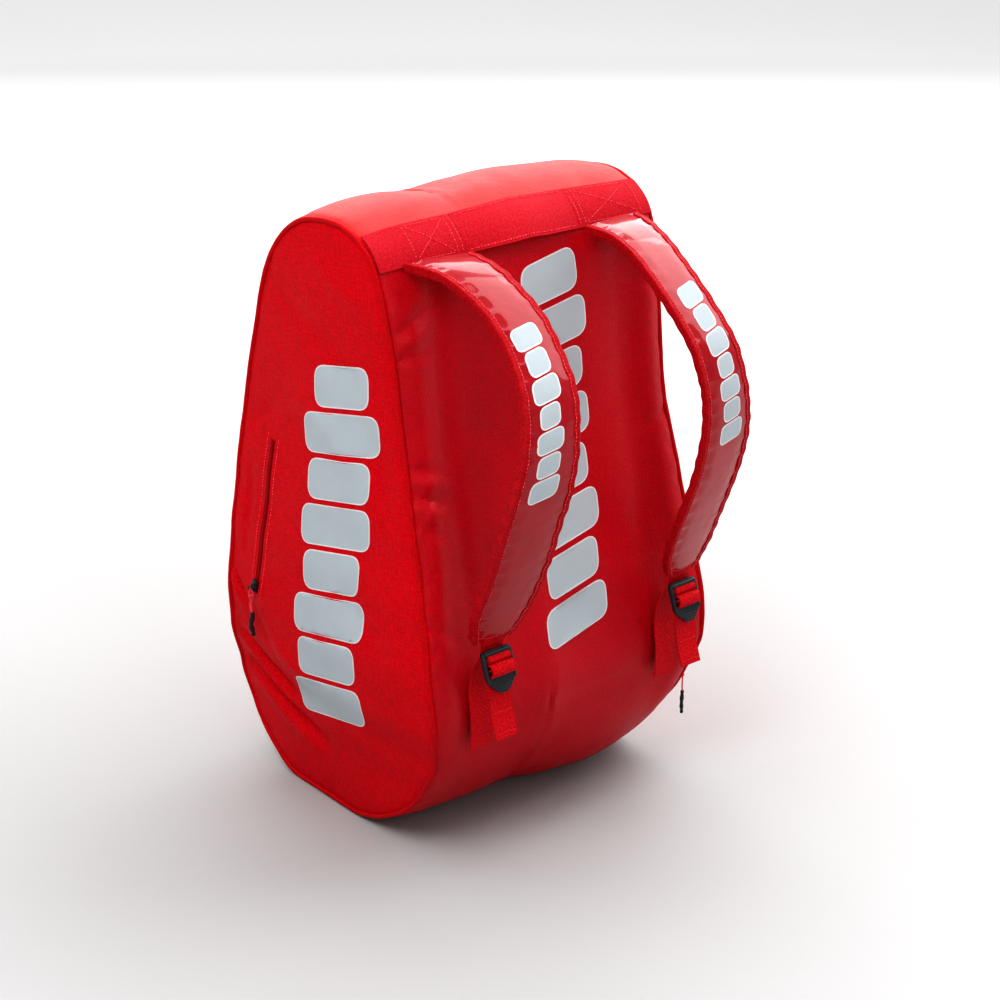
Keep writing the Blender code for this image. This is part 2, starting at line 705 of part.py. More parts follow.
def build_buckle(side, word):
    """Ladder lock: a frame with three bars, two slots and a pointed lift tab."""
    half_w = LOCK_WIDTH / 2
    half_h = LOCK_HEIGHT / 2
    frame = buckle_frame(side)
    frame.translation = frame @ Vector((0, 0, -LOCK_THICKNESS / 2))
    outline = [(-half_w, half_h - 2 * MM), (-half_w, -half_h + 2 * MM),
               (-half_w + 3 * MM, -half_h - 1 * MM), (-7 * MM, -half_h - LOCK_TAB + 3 * MM),
               (-3 * MM, -half_h - LOCK_TAB), (3 * MM, -half_h - LOCK_TAB),
               (7 * MM, -half_h - LOCK_TAB + 3 * MM), (half_w - 3 * MM, -half_h - 1 * MM),
               (half_w, -half_h + 2 * MM), (half_w, half_h - 2 * MM),
               (half_w - 3 * MM, half_h), (-half_w + 3 * MM, half_h)]
    pivot = frame @ Vector((0, BAR_PITCH + 1 * MM, LOCK_THICKNESS / 2))
    made = prism(word + "_ladder_lock", outline, LOCK_THICKNESS, "black_plastic", frame, pivot)
    for k, v in enumerate((5.5 * MM, -5.5 * MM)):
        slot = frame @ Matrix.Translation((0, v, LOCK_THICKNESS / 2))
        size = (WEB_WIDTH + 2 * MM, SLOT_HEIGHT, 3 * LOCK_THICKNESS)
        slotted(made, "%s_slot_cutter_%d" % (word, k), size, slot)


def build_webs(side, word):
    """Web loop on the strap, web sewn to the body, and the free tail below the lock."""
    x = side * LOCK_X
    frame = buckle_frame(side)
    tip = STRAP.at(STRAP.total)
    behind = LOCK_THICKNESS / 2 + WEB_THICKNESS / 2 + GAP
    seat = [frame @ Vector((0, v, -behind - 2 * MM)) for v in (14 * MM, 9.5 * MM)]
    loop = [(tip.x + 7 * MM, tip.y - 2 * MM)] + [(p.y, p.z) for p in seat]
    ribbon(word + "_strap_loop", line_stations(loop, x, WEB_WIDTH, WEB_THICKNESS), "red_webbing",
           (side * strap_value(0.0, 2), *STRAP_PIVOT))
    for name, route in (("_lower_web", LOWER_WEB), ("_web_tail", WEB_TAIL)):
        points = catmull_rom([(y * MM, z * MM) for y, z in route], 2, False)
        ribbon(word + name, line_stations(points, x, WEB_WIDTH, WEB_THICKNESS), "red_webbing",
               (x, *points[0]))


# ---------------------------------------------------------------- zip sliders and pulls

def build_slider(name, frame):
    """Teardrop slider; local Y runs along the zip, Z out of the fabric."""
    half_w = SLIDER_WIDTH / 2
    half_l = SLIDER_LENGTH / 2
    outline = [(-half_w, half_l - 2 * MM), (-half_w, 1 * MM), (-half_w + 2 * MM, -half_l),
               (half_w - 2 * MM, -half_l), (half_w, 1 * MM), (half_w, half_l - 2 * MM),
               (half_w - 2 * MM, half_l), (-half_w + 2 * MM, half_l)]
    prism(name, outline, SLIDER_THICKNESS, "black_plastic", frame, frame.translation)


def build_pull(name, hinge, hang):
    """Cord pull with a moulded grip, hanging from `hinge` along the direction `hang`."""
    direction = Vector(hang).normalized()
    across = Vector((1, 0, 0)) if abs(direction.x) < 0.5 else Vector((0, 1, 0))
    frame = frame_from(hinge, across, direction.cross(across), -direction)
    cord = 1.0 * MM
    grip = 2.6 * MM
    profile = [(cord, 1 * MM), (cord, 28 * MM), (grip * 0.8, 30 * MM), (grip, 36 * MM),
               (grip, PULL_LENGTH - 4 * MM), (grip * 0.6, PULL_LENGTH)]
    turned(name, profile, 6, "black_plastic", frame, hinge)


def build_pocket_zip():
    top, bottom = (Vector(p) for p in (POCKET_TOP, POCKET_BOTTOM))
    along = (bottom - top).normalized()
    across = Vector((-along.y, along.x)) * ZIP_HALF_WIDTH
    outer, inner = [], []
    for k in range(9):
        centre = top.lerp(bottom, k / 8)
        edges = [centre - across, centre, centre + across]
        outer.append([Vector((-crowned_x(y, z) + 1 * MM, y, z)) for y, z in edges])
        inner.append([p + Vector((ZIP_THICKNESS, 0, 0)) for p in outer[-1]])
    sheet("pocket_zip", outer, inner, "zip_red")
    y, z = bottom - along * (SLIDER_LENGTH / 2 + 1 * MM)
    frame = side_frame(y, z, -along, -1, SLIDER_LIFT)
    build_slider("pocket_slider", frame)
    build_pull("pocket_pull", frame @ Vector((0, 0, SLIDER_THICKNESS + 1.6 * MM)), (0, 0, -1))


def build_racket_slider():
    s = length_at(100 * MM, False)
    y, z = on_outline(s, SIDE_INSET + ZIP_HALF_WIDTH + GAP)
    frame = side_frame(y, z, OUTLINE.tangent(s) * -1, 1, SLIDER_LIFT)
    build_slider("racket_slider", frame)
    build_pull("racket_pull", frame @ Vector((0, 0, SLIDER_THICKNESS + 1.6 * MM)), (0, 0, -1))


def build_front_sliders():
    s = length_at(DOOR_TOP_Z, True)
    tangent = OUTLINE.tangent(s)
    out = Vector((0, tangent.y, -tangent.x))
    down = Vector((0, -tangent.x, -tangent.y))
    for word, side in (("left", -1), ("right", 1)):
        x = side * 10 * MM
        base = on_wrap(s, x, -GAP)
        frame = frame_from(base, down * side, (side, 0, 0), out)
        build_slider("front_slider_" + word, frame)
        hinge = base + out * (SLIDER_THICKNESS + 3.2 * MM)
        hang = down - out * 0.02
        build_pull("front_pull_" + word, hinge, hang)


def main():
    for old in list(bpy.data.objects):
        bpy.data.objects.remove(old, do_unlink=True)
    build_wrap()
    build_base_board()
    build_side_panels()
    build_side_door()
    build_piping("left_piping", -1)
    build_piping("right_piping", 1)
    build_front()
    build_divider()
    build_pockets()
    build_band()
    for word, side in (("left", -1), ("right", 1)):
        build_strap(side, word)
        build_buckle(side, word)
        build_webs(side, word)
    build_pocket_zip()
    build_racket_slider()
    build_front_sliders()


main()
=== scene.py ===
"""Looks for the racket tournament bag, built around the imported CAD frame."""
import json
import math
import bmesh
import bpy
from mathutils import Matrix, Vector, kdtree, noise
from mathutils.geometry import delaunay_2d_cdt


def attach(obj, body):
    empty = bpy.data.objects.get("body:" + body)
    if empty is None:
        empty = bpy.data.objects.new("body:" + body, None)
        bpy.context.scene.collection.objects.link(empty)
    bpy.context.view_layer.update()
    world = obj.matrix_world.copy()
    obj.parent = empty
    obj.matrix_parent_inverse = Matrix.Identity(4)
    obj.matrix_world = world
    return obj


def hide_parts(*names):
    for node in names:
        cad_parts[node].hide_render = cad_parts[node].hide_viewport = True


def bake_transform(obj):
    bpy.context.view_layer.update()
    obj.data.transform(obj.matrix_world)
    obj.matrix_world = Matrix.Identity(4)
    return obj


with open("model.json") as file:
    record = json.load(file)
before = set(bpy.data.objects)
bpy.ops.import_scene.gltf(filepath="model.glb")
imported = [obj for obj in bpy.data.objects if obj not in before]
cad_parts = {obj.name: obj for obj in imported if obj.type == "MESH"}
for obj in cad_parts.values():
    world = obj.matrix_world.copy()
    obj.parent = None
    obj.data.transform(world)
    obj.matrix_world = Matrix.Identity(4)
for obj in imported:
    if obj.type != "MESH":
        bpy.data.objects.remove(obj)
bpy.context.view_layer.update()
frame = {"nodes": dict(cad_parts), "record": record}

MM = 0.001

# ---------------------------------------------------------------- shape shared with the CAD

SIDE_OUTLINE = [
    (-40, 0), (0, 0), (62, 0), (102, 22), (130, 54), (146, 100), (146, 160), (142, 235),
    (133, 320), (119, 400), (99, 465), (78, 520), (52, 562), (16, 590), (-24, 600), (-62, 598),
    (-95, 580), (-112, 545), (-123, 490), (-135, 400), (-157, 310), (-178, 225), (-188, 160),
    (-180, 122), (-167, 92), (-149, 66), (-126, 40), (-100, 22), (-72, 8),
]
HALF_WIDTHS = [
    (0, 156), (60, 156), (100, 160), (150, 170), (190, 172), (250, 168), (310, 163),
    (400, 158), (460, 159), (550, 163), (620, 164),
]
SWELLS = [((-122, 36), 72, 12, 0.5), ((-186, 200), 100, -11, 0), ((-12, 600), 100, 10, 0),
          ((126, 350), 130, 8, 0)]
SEAM_X = -28 * MM
WRAP_THICKNESS = 4 * MM
BACK_THICKNESS = 8 * MM
SIDE_THICKNESS = 5 * MM
PIPING_INSET = 3 * MM
PIPING_RADIUS = 2.5 * MM
SIDE_INSET = 6.1 * MM
DOOR_HALF_WIDTH = 118 * MM
DOOR_CORNER = 55 * MM
DOOR_TOP_Z = 556 * MM
DOOR_HINGE_Z = 120 * MM
ZIP_HALF = 4.5 * MM
BAND_WIDTH = 38 * MM
BAND_INNER_X = 67 * MM
STRAP_FACE = [
    (-114, 571, 103, 72), (-145, 569, 100, 62), (-175, 559, 97, 57), (-208, 539, 94, 55),
    (-234, 516, 95, 55), (-257, 488, 99, 57), (-268, 458, 103, 59), (-271, 428, 107, 61),
    (-267, 396, 111, 64), (-257, 362, 114, 65), (-245, 329, 114, 65), (-232, 298, 114, 65),
    (-219, 269, 116, 63), (-210, 247, 118, 50), (-206, 238, 119, 40),
]
STRAP_SPLAY = math.radians(5)
LOCK_X = 117 * MM
LOWER_WEB = [(-186, 122), (-187, 150), (-184, 183), (-190, 208), (-199, 221)]
WEB_TAIL = [(-210, 209), (-214, 195), (-216, 180), (-219, 165), (-225, 147)]


def catmull_rom(points, steps, closed=False):
    """Smooth points through the given ones, `steps` per span."""
    count = len(points)
    result = []
    for i in range(count if closed else count - 1):
        if closed:
            p0, p1, p2, p3 = (Vector(points[(i + k) % count]) for k in (-1, 0, 1, 2))
        else:
            p0, p1, p2, p3 = (Vector(points[min(max(i + k, 0), count - 1)]) for k in (-1, 0, 1, 2))
        for j in range(steps):
            t = j / steps
            result.append(0.5 * (2 * p1 + (p2 - p0) * t + (2 * p0 - 5 * p1 + 4 * p2 - p3) * t ** 2
                                 + (3 * p1 - p0 - 3 * p2 + p3) * t ** 3))
    if not closed:
        result.append(Vector(points[-1]))
    return result


class Path:
    """A smooth curve measured along its own length."""

    def __init__(self, points, closed=False, steps=16, scale=MM):
        self.closed = closed
        self.points = catmull_rom([[v * scale for v in p] for p in points], steps, closed)
        if closed:
            self.points.append(self.points[0].copy())
        self.lengths = [0.0]
        for a, b in zip(self.points, self.points[1:]):
            self.lengths.append(self.lengths[-1] + (b - a).length)
        self.total = self.lengths[-1]

    def at(self, s):
        if self.closed:
            s = s % self.total
        s = min(max(s, 0.0), self.total)
        low, high = 0, len(self.lengths) - 1
        while high - low > 1:
            middle = (low + high) // 2
            if self.lengths[middle] <= s:
                low = middle
            else:
                high = middle
        span = self.lengths[high] - self.lengths[low]
        return self.points[low].lerp(self.points[high], (s - self.lengths[low]) / span)

    def tangent(self, s, step=2 * MM):
        if not self.closed:
            s = min(max(s, step), self.total - step)
        return (self.at(s + step) - self.at(s - step)).normalized()


OUTLINE = Path(SIDE_OUTLINE, closed=True)
for point in OUTLINE.points:
    point.y = max(point.y, 0.0)
TOP_S = OUTLINE.lengths[max(range(len(OUTLINE.points)), key=lambda i: OUTLINE.points[i].y)]


def length_at(z, front):
    """Length along the outline where its front or its back passes the height z."""
    low, high = (0.06, TOP_S) if front else (OUTLINE.total - 0.01, TOP_S)
    for _ in range(40):
        middle = (low + high) / 2
        if OUTLINE.at(middle).y < z:
            low = middle
        else:
            high = middle
    return low


def half_width(z):
    knots = [(a * MM, b * MM) for a, b in HALF_WIDTHS]
    for (z0, w0), (z1, w1) in zip(knots, knots[1:]):
        if z <= z1:
            t = max(z - z0, 0.0) / (z1 - z0)
            return w0 + (w1 - w0) * t * t * (3 - 2 * t)
    return knots[-1][1]


def on_outline(s, inward):
    point = OUTLINE.at(s)
    tangent = OUTLINE.tangent(s)
    return point + Vector((-tangent.y, tangent.x)) * inward


def seam_x(z):
    """X of the seam between the two compartments, which leans to one side at the top."""
    return SEAM_X - 24 * MM * min(max(z / (300 * MM) - 1, 0.0), 1.0)


def swell(s, x):
    """How far the filled wrap stands proud of the outline, less along the centre seam."""
    place = OUTLINE.at(s)
    height = 0.0
    for middle, reach, rise, lean in SWELLS:
        distance = (place - Vector(middle) * MM).length / (reach * MM)
        share = 1 + lean * min(max(x / (60 * MM), -1), 1)
        height += rise * share * MM * math.exp(-distance * distance)
    across = 1 - (x / half_width(place.y)) ** 4
    fade = min(max((45 * MM - place.x) / (60 * MM), 0.0), 1.0)
    if place.y > 0.5:
        fade *= min(max((place.x + 66 * MM) / (50 * MM), 0.3), 1.0)
    seam = 1 - fade * 0.55 * math.exp(-((x - seam_x(place.y)) / (24 * MM)) ** 2)
    return height * max(across, 0.0) * seam


DEPTHS = []
for step in range(0, 621, 2):
    DEPTHS.append((OUTLINE.at(length_at(step * MM, True)).x, OUTLINE.at(length_at(step * MM, False)).x))


def crowned_x(y, z):
    """Half width of a side panel's outer face, which swells a little in the middle."""
    at = min(max(z / (2 * MM), 0.0), len(DEPTHS) - 1.001)
    k = int(at)
    front = DEPTHS[k][0] + (DEPTHS[k + 1][0] - DEPTHS[k][0]) * (at - k)
    back = DEPTHS[k][1] + (DEPTHS[k + 1][1] - DEPTHS[k][1]) * (at - k)
    across = (y - (front + back) / 2) / max((front - back) / 2, 1 * MM)
    up = (z - 300 * MM) / (300 * MM)
    return half_width(z) + 1 * MM + 7 * MM * max(1 - across ** 2, 0) * max(1 - up ** 4, 0)


def bump(value, middle, reach):
    return math.exp(-((value - middle) / reach) ** 2)


def wobble(*place, seed=0.0):
    """Smooth noise from -1 to 1 at a place given in its own wavelengths."""
    full = list(place) + [0.0] * (3 - len(place))
    return noise.noise(Vector(full) + Vector((seed, 17.3 * seed, 3.1 * seed)))


# ---------------------------------------------------------------- materials

class Shader:
    """A node material with short helpers for building procedural patterns."""

    def __init__(self, name, roughness=0.5, **inputs):
        self.material = bpy.data.materials.new(name)
        self.material.use_nodes = True
        self.tree = self.material.node_tree
        self.shader = self.tree.nodes["Principled BSDF"]
        self.shader.inputs["Roughness"].default_value = roughness
        for key, value in inputs.items():
            self.shader.inputs[key.replace("_", " ")].default_value = value

    def node(self, kind, *links, **values):
        made = self.tree.nodes.new("ShaderNode" + kind)
        for key, value in values.items():
            if hasattr(made, key):
                setattr(made, key, value)
            else:
                made.inputs[key.replace("_", " ")].default_value = value
        for socket, source in links:
            self.tree.links.new(source, made.inputs[socket])
        return made

    def math(self, operation, *sources):
        made = self.tree.nodes.new("ShaderNodeMath")
        made.operation = operation
        for k, source in enumerate(sources):
            if isinstance(source, (int, float)):
                made.inputs[k].default_value = source
            else:
                self.tree.links.new(source, made.inputs[k])
        return made.outputs[0]

    def spread(self, source, low, high):
        """Map a 0 to 1 value to a range."""
        made = self.node("MapRange", ("Value", source))
        made.inputs["To Min"].default_value = low
        made.inputs["To Max"].default_value = high
        return made.outputs[0]

    def mix(self, factor, dark, light):
        made = self.node("Mix", data_type="RGBA")
        self.tree.links.new(factor, made.inputs[0])
        for socket, colour in ((made.inputs[6], dark), (made.inputs[7], light)):
            if isinstance(colour, tuple):
                socket.default_value = (*colour, 1.0)
            else:
                self.tree.links.new(colour, socket)
        return made.outputs[2]

    def place(self, coordinates="UV", scale=(1, 1, 1), turn=0.0):
        where = self.node("TexCoord").outputs[coordinates]
        made = self.node("Mapping", ("Vector", where))
        made.inputs["Scale"].default_value = scale
        made.inputs["Rotation"].default_value = (0, 0, turn)
        return made.outputs[0]

    def noise(self, vector, scale, detail=3.0):
        return self.node("TexNoise", ("Vector", vector), Scale=scale, Detail=detail).outputs["Fac"]

    def weave(self, vector, threads):
        """Plain weave height, 0 to 1, from UV metres: warp and weft pass over each other."""
        split = self.node("SeparateXYZ", ("Vector", vector))
        x = self.math("MULTIPLY", split.outputs[0], math.pi * threads)
        y = self.math("MULTIPLY", split.outputs[1], math.pi * threads)
        over = self.math("MULTIPLY", self.math("SINE", x), self.math("SINE", y))
        warp = self.math("ABSOLUTE", self.math("COSINE", x))
        weft = self.math("ABSOLUTE", self.math("COSINE", y))
        up = self.math("MULTIPLY", self.math("ADD", over, 1.0), 0.5)
        down = self.math("SUBTRACT", 1.0, up)
        top = self.math("MULTIPLY", self.math("SUBTRACT", 1.0, warp), up)
        side = self.math("MULTIPLY", self.math("SUBTRACT", 1.0, weft), down)
        return self.math("ADD", top, side)

    def colour(self, source):
        self.tree.links.new(source, self.shader.inputs["Base Color"])

    def rough(self, source):
        self.tree.links.new(source, self.shader.inputs["Roughness"])

    def relief(self, *layers):
        """Bump layers of (height, strength, distance)."""
        normal = None
        for height, strength, distance in layers:
            links = [("Height", height)]
            if normal:
                links.append(("Normal", normal))
            made = self.node("Bump", *links, Strength=strength, Distance=distance)
            normal = made.outputs[0]
        self.tree.links.new(normal, self.shader.inputs["Normal"])


def coated_fabric(name, dark, light, threads=560, roughness=0.5, specular=0.08, rustic=1.0):
    """Fine plain weave under a thin coat, with slubs, faint blotches and rubbed spots."""
    look = Shader(name, Specular_IOR_Level=specular)
    uv = look.place()
    weave = look.weave(uv, threads)
    slub = look.math("MULTIPLY", look.math("ADD", look.noise(look.place(scale=(90, 620, 1)), 1.0, 2.0),
                                           look.noise(look.place(scale=(620, 90, 1)), 1.0, 2.0)), 0.5)
    grain = look.noise(uv, 480.0, 3.0)
    mottle = look.noise(uv, 9.0, 4.0)
    fine = look.math("ADD", look.math("MULTIPLY", slub, 0.6), look.math("MULTIPLY", grain, 0.4))
    fine = look.math("MULTIPLY", look.math("SUBTRACT", fine, 0.5), 2.6 * rustic)
    tone = look.math("ADD", look.math("MULTIPLY", weave, 0.25), look.math("MULTIPLY", mottle, 0.35))
    tone = look.math("ADD", look.math("ADD", tone, 0.28), fine)
    look.colour(look.mix(tone, dark, light))
    look.rough(look.spread(look.noise(uv, 60.0, 4.0), roughness - 0.08, roughness + 0.08))
    look.relief((look.noise(uv, 110.0, 3.0), 0.25, 0.001), (slub, 0.5 * rustic, 0.0008),
                (grain, 0.45 * rustic, 0.0008), (weave, 0.6 * rustic, 0.0004))
    return look.material


def ribbed_web(name, dark, light, rib=1.3 * MM, roughness=0.6):
    """Polyester webbing: ribs across the web with a slight twill slant."""
    look = Shader(name, Specular_IOR_Level=0.15)
    uv = look.place()
    ribs = look.node("TexWave", ("Vector", look.place(scale=(0.3, 1, 1))), wave_type="BANDS",
                     bands_direction="Y", Scale=math.pi / (10 * rib), Distortion=0.8,
                     Detail=2.0).outputs["Fac"]
    grain = look.noise(uv, 1400.0, 2.0)
    slub = look.math("MULTIPLY", look.math("SUBTRACT", look.noise(uv, 420.0, 3.0), 0.5), 2.0)
    tone = look.math("ADD", look.math("MULTIPLY", ribs, 0.5), look.math("MULTIPLY", grain, 0.3))
    look.colour(look.mix(look.math("ADD", look.math("ADD", tone, 0.1), slub), dark, light))
    look.rough(look.spread(grain, roughness - 0.08, roughness + 0.1))
    look.relief((look.noise(uv, 90.0, 3.0), 0.25, 0.001), (slub, 0.4, 0.0005), (ribs, 0.6, 0.0003),
                (grain, 0.3, 0.0002))
    return look.material


def moulded(name, dark, light, roughness=0.38):
    """Moulded plastic or painted metal with a fine spark-eroded texture and worn patches."""
    look = Shader(name, Specular_IOR_Level=0.5)
    where = look.place("Object")
    grain = look.noise(where, 2600.0, 2.0)
    patches = look.noise(where, 140.0, 3.0)
    look.colour(look.mix(patches, dark, light))
    look.rough(look.spread(patches, roughness - 0.08, roughness + 0.14))
    look.relief((grain, 0.25, 0.0001), (patches, 0.1, 0.0004))
    return look.material


def glossy_vinyl(name, dark, light):
    """Glossy soft vinyl over red mesh: clear coat, faint mesh beneath, soft ripples."""
    look = Shader(name, roughness=0.35, Coat_Weight=0.75, Coat_Roughness=0.06, Coat_IOR=1.45,
                  Specular_IOR_Level=0.15)
    uv = look.place()
    mesh = look.weave(uv, 420)
    blotch = look.noise(uv, 28.0, 3.0)
    tone = look.math("ADD", look.math("MULTIPLY", mesh, 0.35), look.math("MULTIPLY", blotch, 0.65))
    look.colour(look.mix(tone, dark, light))
    look.relief((look.noise(uv, 34.0, 2.0), 0.35, 0.004), (mesh, 0.12, 0.0003))
    return look.material


def printed_ink(name, colour):
    """Matt printed ink that follows the weave beneath it."""
    look = Shader(name, roughness=0.6, Specular_IOR_Level=0.2)
    uv = look.place()
    weave = look.weave(uv, 1100)
    darker = tuple(0.9 * v for v in colour)
    look.colour(look.mix(look.noise(uv, 40.0, 4.0), darker, colour))
    look.relief((weave, 0.35, 0.0002), (look.noise(uv, 150.0, 3.0), 0.15, 0.0006))
    return look.material


RED = coated_fabric("red_coated_fabric", (0.36, 0.0, 0.004), (0.74, 0.0005, 0.014))
# The back and base use the red fabric painted darker: painted shade for the faces that get less light.
SHADED_BACK_RED = coated_fabric("red_back_fabric_painted_shade", (0.27, 0.0, 0.004), (0.60, 0.0005, 0.016), 480, 0.4, 0.2, 0.55)
# The top panel uses the red fabric painted lighter and pinker: painted light and painted sheen from the
# lamps overhead.
LIT_TOP_RED = coated_fabric("red_top_fabric_painted_light", (0.52, 0.012, 0.014), (0.86, 0.045, 0.045), 560, 0.5, 0.25, 0.7)
PIPE_RED = coated_fabric("red_piping_fabric", (0.32, 0.0, 0.003), (0.66, 0.001, 0.010), 900, 0.42)
BAND_RED = ribbed_web("red_band_webbing", (0.34, 0.001, 0.008), (0.62, 0.006, 0.026), 1.1 * MM)
WEB_RED = ribbed_web("red_narrow_webbing", (0.32, 0.0, 0.004), (0.72, 0.002, 0.015))
EDGE_RED = ribbed_web("red_edge_binding", (0.24, 0.0, 0.004), (0.56, 0.002, 0.012), 0.9 * MM, 0.45)
ZIP_RED = ribbed_web("red_zip_tape", (0.20, 0.0, 0.002), (0.42, 0.001, 0.006), 0.8 * MM, 0.55)
VINYL = glossy_vinyl("red_gloss_vinyl", (0.27, 0.001, 0.006), (0.42, 0.004, 0.016))
MESH_RED = ribbed_web("red_air_mesh", (0.28, 0.0, 0.003), (0.62, 0.003, 0.012), 2.2 * MM, 0.7)
BLACK = moulded("black_acetal", (0.008, 0.010, 0.014), (0.022, 0.027, 0.034), 0.34)
GRIP = moulded("black_grip_rubber", (0.004, 0.004, 0.005), (0.014, 0.014, 0.016), 0.5)
METAL = moulded("black_slider_paint", (0.006, 0.006, 0.007), (0.02, 0.02, 0.022), 0.28)
LINING = ribbed_web("dark_lining", (0.012, 0.012, 0.014), (0.045, 0.045, 0.052), 0.8 * MM, 0.7)
BOARD = moulded("grey_board", (0.09, 0.09, 0.10), (0.17, 0.17, 0.18), 0.6)
INK = printed_ink("pale_print", (0.46, 0.51, 0.54))
INK_EDGE = printed_ink("white_print_edge", (0.72, 0.70, 0.71))
THREAD = ribbed_web("red_thread", (0.72, 0.02, 0.05), (0.95, 0.16, 0.20), 0.5 * MM, 0.5)


# ---------------------------------------------------------------- meshes

def finish_piece(name, vertices, faces, uvs, material, sharp=35):
    """A smooth-shaded mesh object; `uvs` gives one (u, v) in metres for each vertex."""
    mesh = bpy.data.meshes.new(name)
    mesh.from_pydata([tuple(v) for v in vertices], [], faces)
    mesh.validate()
    if uvs:
        layer = mesh.uv_layers.new(name="UVMap")
        for loop in mesh.loops:
            layer.data[loop.index].uv = uvs[loop.vertex_index]
    mesh.shade_smooth()
    mesh.set_sharp_from_angle(angle=math.radians(sharp))
    mesh.materials.append(material)
    made = bpy.data.objects.new(name, mesh)
    bpy.context.collection.objects.link(made)
    return made


def place_piece(made, body, slot, *nodes):
    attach(made, body)
    if nodes:
        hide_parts(*nodes)
    return made


def place_flap(made, node, hinge):
    """A flap of fabric left fixed where it lies: its CAD part is hidden and its cloth is baked in place."""
    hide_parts(node)
    hinge = Vector(hinge)
    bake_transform(made)
    return made


def grid_normals(grid, closed=False):
    """Unit normals of a grid of points, from its own neighbours."""
    rows, columns = len(grid), len(grid[0])
    normals = []
    for i in range(rows):
        before, after = (i - 1) % rows, (i + 1) % rows
        if not closed:
            before, after = max(i - 1, 0), min(i + 1, rows - 1)
        line = []
        for j in range(columns):
            along = grid[after][j] - grid[before][j]
            across = grid[i][min(j + 1, columns - 1)] - grid[i][max(j - 1, 0)]
            line.append(across.cross(along).normalized())
        normals.append(line)
    return normals


def sheet_piece(name, grid, thickness, material, closed=False, flip=False, sharp=35):
    """A sheet of fabric with real thickness behind a grid of outer points."""
    normals = grid_normals(grid, closed)
    sign = -1 if flip else 1
    rows, columns = len(grid), len(grid[0])
    outer = [p for row in grid for p in row]
    inner = [grid[i][j] - normals[i][j] * (thickness * sign)
             for i in range(rows) for j in range(columns)]
    along = [0.0]
    middle = columns // 2
    for a, b in zip(grid, grid[1:]):
        along.append(along[-1] + (b[middle] - a[middle]).length)
    uvs = []
    for i, row in enumerate(grid):
        u = 0.0
        for j, p in enumerate(row):
            if j:
                u += (p - row[j - 1]).length
            uvs.append((u, along[i]))
    count = rows * columns
    faces = []
    row_pairs = [(i, (i + 1) % rows) for i in range(rows if closed else rows - 1)]
    for i, k in row_pairs:
        for j in range(columns - 1):
            a, b, c, d = i * columns + j, i * columns + j + 1, k * columns + j + 1, k * columns + j
            faces.append((a, b, c, d))
            faces.append((d + count, c + count, b + count, a + count))
    for i, k in row_pairs:
        a, b = i * columns, k * columns
        faces.append((a, b, b + count, a + count))
        a, b = i * columns + columns - 1, k * columns + columns - 1
        faces.append((b, a, a + count, b + count))
    if not closed:
        last = (rows - 1) * columns
        for j in range(columns - 1):
            faces.append((j + 1, j, j + count, j + 1 + count))
            faces.append((last + j, last + j + 1, last + j + 1 + count, last + j + count))
    if flip:
        faces = [tuple(reversed(face)) for face in faces]
    return finish_piece(name, outer + inner, faces, uvs + uvs, material, sharp)


def tube_piece(name, centres, radii, sides, material, closed=False, up=None, squeeze=1.0,
               spread=(1.0, 1.0)):
    """A tube along a list of points; `squeeze` flattens it along `up`."""
    count = len(centres)
    vertices, uvs, along = [], [], 0.0
    normal = Vector(up) if up else None
    for i, centre in enumerate(centres):
        before = centres[(i - 1) % count] if closed or i else centre
        after = centres[(i + 1) % count] if closed or i < count - 1 else centre
        tangent = (after - before).normalized()
        if normal is None:
            normal = tangent.orthogonal().normalized()
        normal = (normal - tangent * normal.dot(tangent)).normalized()
        across = tangent.cross(normal)
        radius = radii[i] if isinstance(radii, (list, tuple)) else radii
        if i:
            along += (centre - centres[i - 1]).length
        for k in range(sides):
            angle = 2 * math.pi * k / sides
            vertices.append(centre + radius * (across * math.cos(angle) * spread[0]
                                               + normal * math.sin(angle) * squeeze * spread[1]))
            uvs.append((radius * angle, along))
        if up:
            normal = Vector(up)
    faces = []
    for i in range(count if closed else count - 1):
        for k in range(sides):
            m = (k + 1) % sides
            j = (i + 1) % count
            faces.append((i * sides + k, i * sides + m, j * sides + m, j * sides + k))
    if not closed:
        faces.append(tuple(reversed(range(sides))))
        faces.append(tuple((count - 1) * sides + k for k in range(sides)))
    return finish_piece(name, vertices, faces, uvs, material, 50)


def join_pieces(name, parts):
    """One object from several meshes that share a material and a body."""
    vertices, faces, uvs, base = [], [], [], 0
    material = parts[0].data.materials[0]
    for part in parts:
        mesh = part.data
        layer = mesh.uv_layers.active
        own = [(0.0, 0.0)] * len(mesh.vertices)
        if layer:
            for loop in mesh.loops:
                own[loop.vertex_index] = tuple(layer.data[loop.index].uv)
        vertices += [v.co.copy() for v in mesh.vertices]
        uvs += own
        faces += [tuple(base + k for k in face.vertices) for face in mesh.polygons]
        base += len(mesh.vertices)
        bpy.data.objects.remove(part)
        bpy.data.meshes.remove(mesh)
    return finish_piece(name, vertices, faces, uvs, material, 50)


